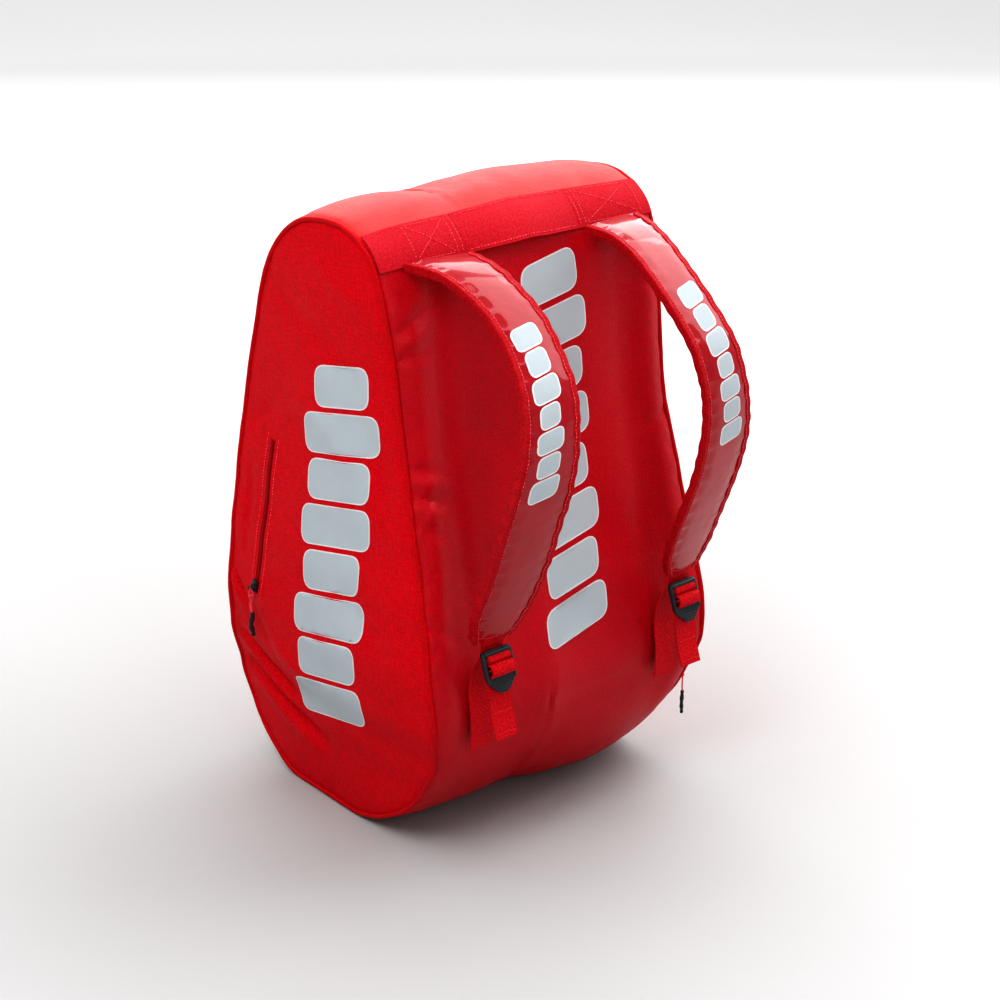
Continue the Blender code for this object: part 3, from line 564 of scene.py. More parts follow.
def stitch_row(name, points, normals, pitch, length, radius, material, wander=0.0):
    """A row of separate thread stitches laid along a line of points just above a surface."""
    lengths = [0.0]
    for a, b in zip(points, points[1:]):
        lengths.append(lengths[-1] + (b - a).length)
    vertices, faces, uvs = [], [], []
    at, k, seed = pitch / 2, 0, 0
    while at + length < lengths[-1]:
        ends = []
        for target in (at, at + length / 2, at + length):
            while k < len(lengths) - 2 and lengths[k + 1] < target:
                k += 1
            t = (target - lengths[k]) / max(lengths[k + 1] - lengths[k], 1e-9)
            ends.append((points[k].lerp(points[k + 1], t), normals[k].lerp(normals[k + 1], t).normalized()))
        along = (ends[2][0] - ends[0][0]).normalized()
        slant = wander * wobble(seed * 0.7, seed=4.0)
        base = len(vertices)
        for (p, n), size, rise in zip(ends, (0.55, 1.0, 0.55), (-0.5, 0.45, -0.5)):
            side = along.cross(n).normalized()
            centre = p + n * (radius * rise) + side * slant
            for turn in range(6):
                angle = math.pi * turn / 3
                vertices.append(centre + radius * size * (side * math.cos(angle) + n * math.sin(angle)))
                uvs.append((turn * radius, at))
        for ring in range(2):
            for turn in range(6):
                m = (turn + 1) % 6
                a, b = base + ring * 6, base + ring * 6 + 6
                faces.append((a + turn, a + m, b + m, b + turn))
        faces.append(tuple(base + 5 - turn for turn in range(6)))
        faces.append(tuple(base + 12 + turn for turn in range(6)))
        at += pitch
        seed += 1
    return finish_piece(name, vertices, faces, uvs, material, 60)


# ---------------------------------------------------------------- body fabric

def fold_height(u, v, folds):
    """Height of soft folds given as ((u, v), (u, v), width, height) in mm."""
    height = 0.0
    for start, end, width, rise in folds:
        a, b = Vector(start) * MM, Vector(end) * MM
        along = (Vector((u, v)) - a).dot(b - a) / (b - a).length_squared
        near = a.lerp(b, min(max(along, 0.0), 1.0))
        gap = (Vector((u, v)) - near).length / (width * MM)
        if gap < 3.2:
            taper = math.sin(math.pi * min(max(0.12 + 0.76 * along, 0.0), 1.0))
            height += rise * MM * math.exp(-gap * gap) * taper
    return height


# Puckers that run out from the piping onto the back, as ((X, Z), (X, Z), width, height), mm.
BACK_FOLDS = [
    ((-160, 512), (-116, 530), 4.5, -2.6), ((-160, 500), (-112, 512), 5, 1.8),
    ((-160, 488), (-120, 492), 4, -1.9), ((-160, 540), (-120, 556), 5, -1.8),
    ((-161, 392), (-124, 384), 4, -2.0), ((-161, 380), (-110, 366), 4.5, 2.0),
    ((-162, 368), (-116, 352), 4, -2.6), ((-162, 356), (-122, 338), 4, 1.6),
    ((-162, 344), (-130, 322), 4, -1.6), ((-166, 250), (-130, 232), 5, -1.5),
    ((160, 500), (118, 512), 6, -1.8), ((160, 380), (124, 366), 5, -1.6),
    ((-90, 420), (-40, 380), 12, -1.2), ((-80, 330), (-30, 300), 14, 1.0),
]


def wrap_detail(s, x):
    """Seams, puckers and soft undulation of the wrap, outward in metres."""
    place = OUTLINE.at(s)
    y, z = place
    edge = half_width(z) - abs(x)
    side = 1.0 if x > 0 else -1.0
    depth = -3.4 * MM * math.exp(-max(edge - 1.5 * MM, 0) / (2.6 * MM))
    pull = 1.0
    if y < -0.05:
        pull += 1.3 * bump(z, 0.52, 0.045) + 1.1 * bump(z, 0.355, 0.03) + 0.6 * bump(z, 0.2, 0.05)
    tuck = bump(edge, 7 * MM, 12 * MM)
    depth += 0.9 * MM * pull * tuck * wobble(s / (13 * MM) + edge / (16 * MM), edge / (55 * MM), seed=side)
    depth += 0.5 * MM * pull * bump(edge, 3 * MM, 7 * MM) * wobble(s / (6 * MM), 0.3, seed=side + 5)
    inner = min(edge / (60 * MM), 1.0)
    depth += 1.7 * MM * inner * wobble(s / (95 * MM), x / (60 * MM), seed=1.5)
    depth += 0.55 * MM * inner * wobble(s / (40 * MM), x / (26 * MM), seed=2.5)
    if y < -0.09:
        window = 1 / (1 + math.exp(-(z - 0.25) / 0.02)) / (1 + math.exp((z - 0.56) / 0.008))
        depth -= 3.4 * MM * window * bump(x, -0.110, 10 * MM)
        depth -= 2.2 * MM * window * bump(x, 0.108, 14 * MM)
        free = 1 / (1 + math.exp((z - 0.532) / 0.007)) / (1 + math.exp(-(z - 0.06) / 0.01))
        depth += 4.6 * MM * free * bump(edge, 20 * MM, 13 * MM) * (0.55 + 0.45 * window)
        depth += 1.3 * free * fold_height(x, z, BACK_FOLDS)
    low = 1 / (1 + math.exp((z - 0.15) / 0.014)) if y < 0.06 else 0.0
    high = min(max((y + 0.07) / 0.05, 0.25), 1.0) / (1 + math.exp(-(z - 0.575) / 0.006))
    line = x - seam_x(z)
    groove = -3.4 * math.exp(-(line / (2.2 * MM)) ** 2) + 1.1 * bump(abs(line), 6 * MM, 3 * MM)
    depth += groove * MM * max(low, 0.75 * high)
    gather = bump(line, 0.0, 20 * MM) * max(low, high)
    depth += 0.8 * MM * gather * wobble(s / (11 * MM), x / (40 * MM), seed=7.5)
    return depth


def wrap_point(s, x, lift=0.0):
    y, z = on_outline(s, -(swell(s, x) + wrap_detail(s, x) + lift))
    return Vector((x, y, max(z, 0.0)))


def wrap_out(s):
    tangent = OUTLINE.tangent(s)
    return Vector((0, tangent.y, -tangent.x))


def wrap_reach(s):
    return half_width(OUTLINE.at(s).y) - 1.5 * MM


def packed_columns(count):
    """Places from -1 to 1 that crowd towards both ends."""
    steps = [2 * k / count - 1 for k in range(count + 1)]
    return [0.62 * math.sin(math.pi / 2 * t) + 0.38 * t for t in steps]


def spread(start, end, count):
    return [start + (end - start) * k / count for k in range(count + 1)]


def wrap_piece(name, start, end, thickness, material):
    rows = max(int((end - start) / (4.5 * MM)), 6)
    grid = [[wrap_point(s, wrap_reach(s) * part) for part in packed_columns(84)]
            for s in spread(start + 0.15 * MM, end - 0.15 * MM, rows)]
    made = sheet_piece(name + "_cloth", grid, thickness, material, flip=True)
    return place_piece(made, "root", "body_fabric", name)


BASE_BACK_S = length_at(36 * MM, False)
BASE_FRONT_S = length_at(60 * MM, True)
ARCH_TOP_S = length_at(586 * MM, True)
BAND_LOW_S = length_at(567 * MM, False)
DOOR_LOW_S = length_at(DOOR_HINGE_Z, True)

wrap_piece("base_panel", BASE_BACK_S - OUTLINE.total, BASE_FRONT_S, WRAP_THICKNESS, SHADED_BACK_RED)
wrap_piece("front_lower_panel", BASE_FRONT_S, DOOR_LOW_S, WRAP_THICKNESS, RED)
wrap_piece("top_panel", ARCH_TOP_S, BAND_LOW_S, WRAP_THICKNESS, LIT_TOP_RED)
back_pad = wrap_piece("back_panel", BAND_LOW_S, BASE_BACK_S, BACK_THICKNESS, SHADED_BACK_RED)


# ---------------------------------------------------------------- side panels

def outline_ring(inset, pitch=3 * MM):
    count = int(OUTLINE.total / pitch)
    return [on_outline(OUTLINE.total * k / count, inset) for k in range(count)]


def cut_ring(ring, z, above):
    """The part of a closed ring of (Y, Z) points on one side of a height, with a cut edge."""
    kept = []
    for a, b in zip(ring, ring[1:] + ring[:1]):
        if (a.y > z) == above:
            kept.append(a)
        if (a.y > z) != (b.y > z):
            kept.append(a.lerp(b, (z - a.y) / (b.y - a.y)))
    start = next(i for i, p in enumerate(kept) if abs(p.y - z) < 1e-6)
    if abs(kept[(start + 1) % len(kept)].y - z) < 1e-6:
        start = (start + 1) % len(kept)
    kept = kept[start:] + kept[:start]
    count = max(int((kept[-1] - kept[0]).length / (3 * MM)), 2)
    return kept + [kept[-1].lerp(kept[0], k / count) for k in range(1, count)]


def inside_rows(ring, pitch, margin):
    """Points of a square grid inside a closed ring, kept `margin` away from it."""
    tree = kdtree.KDTree(len(ring))
    for k, p in enumerate(ring):
        tree.insert((p[0], p[1], 0), k)
    tree.balance()
    low, high = min(p[1] for p in ring), max(p[1] for p in ring)
    points = []
    v = low + pitch / 2
    while v < high:
        crossings = []
        for a, b in zip(ring, ring[1:] + ring[:1]):
            if (a[1] > v) != (b[1] > v):
                crossings.append(a[0] + (b[0] - a[0]) * (v - a[1]) / (b[1] - a[1]))
        crossings.sort()
        for left, right in zip(crossings[::2], crossings[1::2]):
            u = math.ceil((left + margin / 2) / pitch) * pitch
            while u < right - margin / 2:
                if tree.find((u, v, 0))[2] > margin:
                    points.append(Vector((u, v)))
                u += pitch
        v += pitch
    return points


def inside(point, ring):
    found = False
    for a, b in zip(ring, ring[1:] + ring[:1]):
        if (a[1] > point[1]) != (b[1] > point[1]):
            if point[0] < a[0] + (b[0] - a[0]) * (point[1] - a[1]) / (b[1] - a[1]):
                found = not found
    return found


def flat_mesh(ring, holes, pitch, extra=()):
    """Triangles that fill a closed ring of 2-D points, leaving out the holes."""
    points = [Vector(p) for p in ring]
    edges = [(k, (k + 1) % len(ring)) for k in range(len(ring))]
    for hole in holes:
        base = len(points)
        points += [Vector(p) for p in hole]
        edges += [(base + k, base + (k + 1) % len(hole)) for k in range(len(hole))]
    points += list(extra)
    points += inside_rows(ring, pitch, pitch * 0.6)
    made = delaunay_2d_cdt(points, edges, [], 1, 1e-7)
    corners, faces = made[0], made[2]
    kept = []
    for face in faces:
        middle = sum((corners[k] for k in face), Vector((0, 0))) / len(face)
        if not any(inside(middle, hole) for hole in holes):
            kept.append(tuple(face))
    return corners, kept


def cut_piece(name, ring, holes, pitch, surface, thickness, material, extra=(), sharp=35):
    """A cut of fabric: a filled ring laid on `surface(u, v)`, with `thickness` behind it."""
    corners, faces = flat_mesh(ring, holes, pitch, extra)
    outer = [surface(p[0], p[1], 0.0) for p in corners]
    inner = [surface(p[0], p[1], thickness) for p in corners]
    count = len(corners)
    uvs = [(p[0], p[1]) for p in corners]
    a, b, c = (outer[k] for k in faces[0][:3])
    outward = (b - a).cross(c - a).dot(outer[faces[0][0]] - inner[faces[0][0]]) > 0
    if not outward:
        faces = [tuple(reversed(face)) for face in faces]
    seen = {}
    for face in faces:
        for i, j in zip(face, face[1:] + face[:1]):
            seen[(i, j)] = True
    border = [(i, j) for i, j in seen if (j, i) not in seen]
    walls = [(j, i, i + count, j + count) for i, j in border]
    backs = [tuple(k + count for k in reversed(face)) for face in faces]
    return finish_piece(name, outer + inner, faces + backs + walls, uvs + uvs, material, sharp)


EDGE_TREE = kdtree.KDTree(600)
for k in range(600):
    spot = OUTLINE.at(OUTLINE.total * k / 600)
    EDGE_TREE.insert((spot.x, spot.y, 0), k)
EDGE_TREE.balance()

# Soft folds on the left side as ((Y, Z), (Y, Z), width, height), mm.
LEFT_FOLDS = [
    ((130, 146), (44, 103), 6, -5.4), ((122, 128), (36, 88), 7, 3.6), ((121, 108), (-4, 62), 7, -6.0),
    ((112, 88), (16, 50), 8, 3.2), ((134, 212), (104, 178), 2.4, -3.0), ((140, 204), (112, 168), 4, 2.2),
    ((100, 186), (58, 142), 8, -2.6), ((84, 166), (8, 128), 11, 2.4), ((102, 330), (112, 236), 6, -2.2),
    ((60, 520), (-60, 470), 16, -2.0), ((-60, 250), (-120, 200), 14, -1.8), ((30, 420), (-70, 380), 18, 1.8),
    ((-10, 560), (-80, 530), 12, 1.6), ((-90, 420), (-118, 330), 12, -1.6), ((60, 400), (104, 372), 8, -1.8),
]
RIGHT_FOLDS = [
    ((100, 180), (20, 130), 12, -1.6), ((-60, 210), (-140, 160), 12, 1.5), ((60, 500), (-40, 540), 14, -1.4),
    ((-100, 330), (-40, 280), 15, 1.4), ((90, 380), (20, 340), 16, -1.3),
]


def side_detail(y, z, side):
    """Edge roll, puckers, folds and undulation of a side panel, outward in metres."""
    _, index, edge = EDGE_TREE.find((y, z, 0))
    s = OUTLINE.total * index / 600
    depth = -3.6 * MM * math.exp(-max(edge - 2 * MM, 0) / (3.0 * MM))
    pucker = wobble(s / (14 * MM) + edge / (20 * MM), edge / (50 * MM), seed=side * 9)
    depth += 0.8 * MM * bump(edge, 9 * MM, 12 * MM) * pucker
    inner = min(edge / (50 * MM), 1.0)
    depth += 2.0 * MM * inner * wobble(y / (85 * MM), z / (110 * MM), seed=side * 3 + 11)
    depth += 0.6 * MM * inner * wobble(y / (34 * MM), z / (42 * MM), seed=side * 3 + 12)
    return depth + 1.25 * fold_height(y, z, LEFT_FOLDS if side < 0 else RIGHT_FOLDS)


def side_surface(side):
    def surface(y, z, inward):
        return Vector((side * (crowned_x(y, z) + side_detail(y, z, side) - inward), y, z))
    return surface


LEFT = side_surface(-1)
RIGHT = side_surface(1)
POCKET_TOP = Vector((65 * MM, 364 * MM))
POCKET_BOTTOM = Vector((89 * MM, 200 * MM))

# the doors' hinge lines, and how much of each door's cloth is meant to bend over its hinge; the cloth itself
# is not bent
SIDE_DOOR_HINGE = (0.164, -0.01, 0.08)
FRONT_DOOR_HINGE = (0, 0.1477, 0.12)


def slot_ring(top, bottom, half):
    """A long thin slot with pointed ends, as a closed ring of points."""
    along = (bottom - top).normalized()
    across = Vector((-along.y, along.x)) * half
    count = int((bottom - top).length / (3 * MM))
    left = [top.lerp(bottom, k / count) + across for k in range(count + 1)]
    right = [top.lerp(bottom, k / count) - across for k in range(count, -1, -1)]
    return left + right


def edge_rows(insets):
    rows = []
    for inset in insets:
        rows += outline_ring(inset, 3.5 * MM)
    return rows


def build_sides():
    slot = slot_ring(POCKET_TOP, POCKET_BOTTOM, 3.6 * MM)
    extra = edge_rows((4 * MM, 6.5 * MM, 9.5 * MM, 13 * MM))
    made = cut_piece("left_side_cloth", outline_ring(1.8 * MM), [slot], 4.5 * MM, LEFT,
                     SIDE_THICKNESS - 1 * MM, RED, extra)
    place_piece(made, "root", "body_fabric", "left_side_panel")
    door_inset = SIDE_INSET + 2 * ZIP_HALF + 0.6 * MM
    ring = cut_ring(outline_ring(door_inset), 80.3 * MM, True)
    made = cut_piece("right_door_cloth", ring, [], 4.5 * MM, RIGHT, SIDE_THICKNESS - 1 * MM, RED)
    place_flap(made, "right_side_door", SIDE_DOOR_HINGE)
    ring = cut_ring(outline_ring(1.8 * MM), 79.7 * MM, False)
    made = cut_piece("right_sill_cloth", ring, [], 4.5 * MM, RIGHT, SIDE_THICKNESS - 1 * MM, RED)
    place_piece(made, "root", "body_fabric", "right_side_sill")


build_sides()


def build_piping():
    for word, side in (("left", -1), ("right", 1)):
        centres, radii = [], []
        count = int(OUTLINE.total / (3.5 * MM))
        for k in range(count):
            s = OUTLINE.total * k / count
            y, z = on_outline(s, PIPING_INSET)
            wave = wobble(s / (16 * MM), 0.5, seed=side + 20)
            centres.append(Vector((side * (half_width(z) + 0.35 * MM * wave), y, max(z, PIPING_RADIUS))))
            radii.append(PIPING_RADIUS * (1 + 0.06 * wobble(s / (9 * MM), 0.2, seed=side + 30)))
        made = tube_piece(word + "_piping_cord", centres, radii, 12, PIPE_RED, closed=True)
        place_piece(made, "root", "piping", word + "_piping")


build_piping()


# ---------------------------------------------------------------- front door, arch and zip

def door_edge(grow):
    """The door's U as (x, s) points from its lower left corner to its lower right corner."""
    high = length_at(DOOR_TOP_Z, True) + grow
    half = DOOR_HALF_WIDTH + grow
    corner = DOOR_CORNER + grow
    left = [(-half, s) for s in spread(DOOR_LOW_S, high - corner, 90)]
    for k in range(1, 24):
        angle = math.pi / 2 * k / 24
        left.append((-half + corner * (1 - math.cos(angle)), high - corner * (1 - math.sin(angle))))
    left += [(-x, high) for x in spread(half - corner, 4 * MM, 14)]
    return left + [(0.0, high)] + [(-x, s) for x, s in reversed(left)]


def build_front():
    edge = door_edge(-ZIP_HALF + 1.2 * MM)
    half = len(edge) // 2
    grid = []
    for x, s in edge[:half]:
        row = []
        for part in packed_columns(60):
            u = x * part
            border = abs(x) * (1 - abs(part))
            high = length_at(DOOR_TOP_Z, True) - ZIP_HALF - s
            dip = -1.6 * MM * math.exp(-max(min(border, max(high, 0.0)), 0) / (2 * MM))
            row.append(wrap_point(max(s, DOOR_LOW_S + 0.3 * MM), u, dip))
        grid.append(row)
    made = sheet_piece("front_door_cloth", grid, WRAP_THICKNESS, RED)
    place_flap(made, "front_door", FRONT_DOOR_HINGE)

    inner_edge = door_edge(ZIP_HALF - 1.2 * MM)
    half = len(inner_edge) // 2
    corner_start = inner_edge[90][1]
    flat = DOOR_HALF_WIDTH - DOOR_CORNER
    top = ARCH_TOP_S - 0.15 * MM
    grid = []
    for x, s in inner_edge:
        side = -1 if x < 0 else 1
        if s <= corner_start + 1e-9:
            outer = (side * wrap_reach(s), s)
        else:
            part = (s - corner_start) / (inner_edge[half][1] - corner_start)
            climb = corner_start + (top - corner_start) * min(part * 1.25, 1.0)
            reach = wrap_reach(climb)
            if abs(x) > flat + 1 * MM:
                shift = max(part - 0.8, 0.0) / 0.2
                outer = (side * (reach + (1.9 * flat - reach) * shift), climb)
            else:
                outer = (x * 1.9, top)
        row = []
        for k in range(15):
            t = 0.5 - 0.5 * math.cos(math.pi * k / 14)
            dip = -1.6 * MM * math.exp(-t * 20)
            row.append(wrap_point(s + (outer[1] - s) * t, x + (outer[0] - x) * t, dip))
        grid.append(row)
    made = sheet_piece("front_arch_cloth", grid, WRAP_THICKNESS, RED, flip=False)
    place_piece(made, "root", "body_fabric", "front_arch")


def frame_from(origin, across, along, out):
    """World matrix whose local X, Y and Z axes are the three directions given."""
    matrix = Matrix.Identity(4)
    for column, axis in enumerate((across, along, out)):
        axis = Vector(axis).normalized()
        for row in range(3):
            matrix[row][column] = axis[row]
    matrix.translation = Vector(origin)
    return matrix


def zip_line(points, normals, name):
    """Tape, coil and stitching of a zip that runs along a line of points."""
    width = 2 * ZIP_HALF
    grid, crossings = [], []
    for i, (p, n) in enumerate(zip(points, normals)):
        along = (points[min(i + 1, len(points) - 1)] - points[max(i - 1, 0)]).normalized()
        across = along.cross(n).normalized()
        crossings.append(across)
        row = []
        for part in (-1, -0.55, -0.2, 0.2, 0.55, 1):
            crown = 0.25 * MM * (1 - abs(part))
            row.append(p + across * (part * width / 2) + n * (crown - 1.2 * MM))
        grid.append(row)
    tape = sheet_piece(name + "_tape", grid, 1.0 * MM, ZIP_RED)
    vertices, faces, uvs = [], [], []
    pitch = 2.1 * MM
    left_over = 0.0
    tooth = 0
    for i in range(len(points) - 1):
        a, b = points[i], points[i + 1]
        length = (b - a).length
        along = (b - a).normalized()
        while left_over < length:
            t = left_over / length
            n = normals[i].lerp(normals[i + 1], t).normalized()
            across = crossings[i].lerp(crossings[i + 1], t).normalized()
            side = 1 if tooth % 2 else -1
            centre = a.lerp(b, t) + across * (side * 0.55 * MM) - n * 0.75 * MM
            base = len(vertices)
            for u, v, w in ((-1, -1, 0), (1, -1, 0), (1, 1, 0), (-1, 1, 0),
                            (-0.7, -0.6, 1), (0.7, -0.6, 1), (0.7, 0.6, 1), (-0.7, 0.6, 1)):
                vertices.append(centre + across * (u * 1.5 * MM) + along * (v * 0.75 * MM)
                                + n * (w * 0.9 * MM))
                uvs.append((u * MM, v * MM))
            for face in ((3, 2, 1, 0), (4, 5, 6, 7), (0, 1, 5, 4), (1, 2, 6, 5), (2, 3, 7, 6),
                         (3, 0, 4, 7)):
                faces.append(tuple(base + k for k in face))
            tooth += 1
            left_over += pitch / 2
        left_over -= length
    teeth = finish_piece(name + "_coil", vertices, faces, uvs, ZIP_RED, 60)
    return tape, teeth


def build_zip(points, normals, name):
    """Both pieces of a zip, on the bag's body; the tape stands for the zip's node."""
    tape, coil = zip_line(points, normals, name)
    place_piece(tape, "root", "zip_tape", name)
    place_piece(coil, "root", "zip_tape")


def build_zips():
    middle = door_edge(0.0)
    points = [wrap_point(max(s, DOOR_LOW_S + 1 * MM), x) for x, s in middle]
    normals = [wrap_out(s) for x, s in middle]
    build_zip(points, normals, "front_zip")
    start = length_at(80 * MM, True) + 5 * MM
    end = length_at(80 * MM, False) - 5 * MM
    points, normals = [], []
    for s in spread(start, end, 300):
        y, z = on_outline(s, SIDE_INSET + ZIP_HALF + 0.3 * MM)
        points.append(Vector((crowned_x(y, z), y, z)))
        normals.append(Vector((1, 0, 0)))
    build_zip(points, normals, "racket_zip")
    # narrow border of fabric between the right piping and the zip
    grid = []
    for s in spread(start - 4 * MM, end + 4 * MM, 320):
        row = []
        for inset in (1.8, 3.0, 4.5, 6.0, 6.9):
            y, z = on_outline(s, inset * MM)
            drop = 3.0 * MM * math.exp(-(inset - 1.8) / 1.4) + (0.9 * MM if inset > 6.5 else 0.0)
            row.append(Vector((crowned_x(y, z) + 0.2 * MM - drop, y, z)))
        grid.append(row)
    made = sheet_piece("right_zip_border", grid, 1.6 * MM, RED, flip=True)
    place_piece(made, "root", "body_fabric")
    points, normals = [], []
    for k in range(61):
        y, z = POCKET_TOP.lerp(POCKET_BOTTOM, k / 60)
        points.append(Vector((-crowned_x(y, z) - 0.2 * MM, y, z)))
        normals.append(Vector((-1, 0, 0)))
    build_zip(points, normals, "pocket_zip")


build_front()
build_zips()


# ---------------------------------------------------------------- shoulder straps

STRAP = Path(STRAP_FACE, steps=16)
STRAP_LENGTH = Path([station[:2] for station in STRAP_FACE]).total


def strap_frame(side, part):
    """Middle of the strap's face, half width, and the along, across and outward directions."""
    at = min(max(part, 0.0), 1.0) * (len(STRAP.points) - 1)
    k = min(int(at), len(STRAP.points) - 2)
    y, z, x, width = STRAP.points[k].lerp(STRAP.points[k + 1], at - k)
    low, high = max(k - 2, 0), min(k + 3, len(STRAP.points) - 1)
    run = STRAP.points[high] - STRAP.points[low]
    along = Vector((0, run[0], run[1])).normalized()
    out = Vector((0, along.z, -along.y))
    across = Vector((math.cos(STRAP_SPLAY), side * math.sin(STRAP_SPLAY), 0))
    return Vector((side * x, y, z)), width / 2, along, across, out


def strap_ripple(side, part, u):
    """Puckers of the glossy face along the two bindings and soft waves between them."""
    s = part * STRAP_LENGTH
    phase = s / (17 * MM) + 0.35 * wobble(s / (30 * MM), 0.4, seed=side + (2 if u > 0 else 6))
    ridge = bump(phase - round(phase), 0.0, 0.16)
    strong = 0.6 + 0.4 * wobble(s / (60 * MM), 0.1, seed=side + (9 if u > 0 else 13))
    inner = 2.2 if u < 0 else 1.0
    near = min(max((abs(u) - 0.42) / 0.38, 0.0), 1.0)
    depth = -MM * strong * inner * (1 - 0.9 * ridge) * near * near * (3 - 2 * near)
    return depth + 0.4 * MM * wobble(s / (42 * MM), u * 1.2, seed=side + 40)


def strap_point(side, part, u, depth=0.0, ripple=1.0):
    centre, half, _, across, out = strap_frame(side, part)
    dome = 1.3 * MM * (1 - u * u) - 0.6 * MM
    lift = dome + strap_ripple(side, part, u) * ripple - depth
    return centre + across * (u * half) + out * lift


def rim_wave(side, part, edge):
    s = part * STRAP_LENGTH
    wave = math.cos(2 * math.pi * s / (17 * MM) + 2.2 * wobble(s / (40 * MM), 0.2, seed=side + edge))
    wave = 0.4 * wave + 0.7 * wobble(s / (24 * MM), 0.7, seed=side + edge + 3)
    return MM * (wave + 0.35 * wobble(s / (8 * MM), 0.7, seed=side + edge + 8))


def strap_rim(side, edge, first, last, count):
    """Rings of a folded binding tape along one edge of the strap."""
    rings = []
    for part in spread(first, last, count):
        centre, half, _, across, out = strap_frame(side, part)
        wave = rim_wave(side, part, edge)
        middle = centre + across * (edge * (half - 3.6 * MM + wave)) - out * (3.9 * MM)
        ring = []
        for k in range(24):
            angle = 2 * math.pi * (k + 0.5) / 24
            c, d = math.cos(angle), math.sin(angle)
            u = math.copysign(abs(c) ** 0.4, c) * 3.6 * MM
            v = math.copysign(abs(d) ** 0.4, d) * (4.4 * MM + 0.4 * wave)
            groove = 0.55 * MM * bump(u * edge, -1.6 * MM, 0.8 * MM) if d > 0.3 else 0.0
            ring.append(middle + across * u + out * (v - groove))
        rings.append(ring)
    return rings


def ring_piece(name, rings, material, sharp=50):
    """A closed body lofted through rings of points, capped at both ends."""
    sides = len(rings[0])
    vertices = [p for ring in rings for p in ring]
    uvs, along = [], 0.0
    for i, ring in enumerate(rings):
        if i:
            along += (ring[0] - rings[i - 1][0]).length
        around = 0.0
        for k, p in enumerate(ring):
            if k:
                around += (p - ring[k - 1]).length
            uvs.append((around, along))
    faces = []
    for i in range(len(rings) - 1):
        for k in range(sides):
            m = (k + 1) % sides
            faces.append((i * sides + k, i * sides + m, (i + 1) * sides + m, (i + 1) * sides + k))
    faces.append(tuple(reversed(range(sides))))
    faces.append(tuple((len(rings) - 1) * sides + k for k in range(sides)))
    made = finish_piece(name, vertices, faces, uvs, material, sharp)
    bm = bmesh.new()
    bm.from_mesh(made.data)
    bmesh.ops.recalc_face_normals(bm, faces=bm.faces)
    bm.to_mesh(made.data)
    bm.free()
    return made


def build_strap(side, word):
    body = word + "_strap"
    rows = 210
    parts = spread(0.0, 0.925, rows)
    columns = spread(-0.84, 0.84, 34)
    grid = []
    for part in parts:
        line = []
        for u in columns:
            curve = 0.018 * (1 - (u / 0.84) ** 2) if part > 0.9 else 0.0
            line.append(strap_point(side, part + curve * (part - 0.9) / 0.025, u))
        grid.append(line)
    made = sheet_piece(body + "_face", grid, 1.2 * MM, VINYL, flip=True)
    place_piece(made, body, "strap_gloss", word + "_strap_cover")

    rings = []
    for part in spread(0.0, 1.0, 150):
        centre, half, _, across, out = strap_frame(side, part)
        ring = []
        for k in range(28):
            angle = 2 * math.pi * k / 28
            c, d = math.cos(angle), math.sin(angle)
            u = math.copysign(abs(c) ** 0.5, c) * (half - 2.2 * MM)
            v = math.copysign(abs(d) ** 0.7, d) * 3.7 * MM
            quilt = 0.4 * MM * wobble(part * 22, u * 30, seed=side + 50) if d < 0 else 0.0
            ring.append(centre + across * u + out * (v - 4.9 * MM + quilt))
        rings.append(ring)
    made = ring_piece(body + "_padding", rings, MESH_RED)
    place_piece(made, body, "strap_padding", word + "_strap_pad")

    grid = [[strap_point(side, part, u, 0.5 * MM, 0.3) for u in spread(-0.86, 0.86, 20)]
            for part in spread(0.905, 0.998, 24)]
    made = sheet_piece(body + "_end_patch", grid, 1.2 * MM, EDGE_RED, flip=True)
    place_piece(made, body, "webbing")

    bindings = []
    for edge in (-1, 1):
        bindings.append(ring_piece(body + "_rim", strap_rim(side, edge, 0.0, 1.0, 230), EDGE_RED))
    made = join_pieces(body + "_binding", bindings)
    place_piece(made, body, "piping")

    rows = []
    for edge in (-1, 1):
        points, normals = [], []
        for part in spread(0.005, 0.995, 230):
            centre, half, _, across, out = strap_frame(side, part)
            wave = rim_wave(side, part, edge)
            points.append(centre + across * (edge * (half - 5.3 * MM + wave))
                          + out * (0.25 * MM + 0.4 * wave))
            normals.append(out)
        rows.append(stitch_row("row", points, normals, 3.4 * MM, 2.4 * MM, 0.4 * MM, THREAD))
    made = join_pieces(body + "_stitching", rows)
    place_piece(made, body, "webbing")

    points, normals = [], []
    for k in range(31):
        u = -0.8 + 1.6 * k / 30
        part = 0.93 + 0.018 * (1 - (u / 0.84) ** 2)
        points.append(strap_point(side, part, u, -0.25 * MM, 0.3))
        normals.append(strap_frame(side, part)[4])
    made = stitch_row(body + "_end_stitching", points, normals, 3.2 * MM, 2.2 * MM, 0.32 * MM, THREAD)
    place_piece(made, body, "webbing")


for word, side in (("left", -1), ("right", 1)):
    build_strap(side, word)


# ---------------------------------------------------------------- webbing band and grab handle

def band_point(x, across, bow, lift):
    """A point of the band: `across` runs 0 to 1 from its upper to its lower edge."""
    arch = bow * math.cos(math.pi / 2 * min(abs(x) / BAND_INNER_X, 1.0))
    edge = abs(across - 0.5) * 2
    wave = 0.35 * MM * wobble(x / (22 * MM), across * 1.5, seed=61)
    wave += 0.7 * MM * bump(edge, 1.0, 0.35) * wobble(x / (30 * MM), across, seed=62)
    height = 1.6 * MM + arch * (0.3 + 0.7 * across) + lift + wave
    s = BAND_LOW_S + 2 * MM - BAND_WIDTH * (1 - across) - 0.8 * MM * wobble(x / (26 * MM), 0.4, seed=63)
    y, z = on_outline(s, -(swell(s, x) + height))
    return Vector((x, y, z))


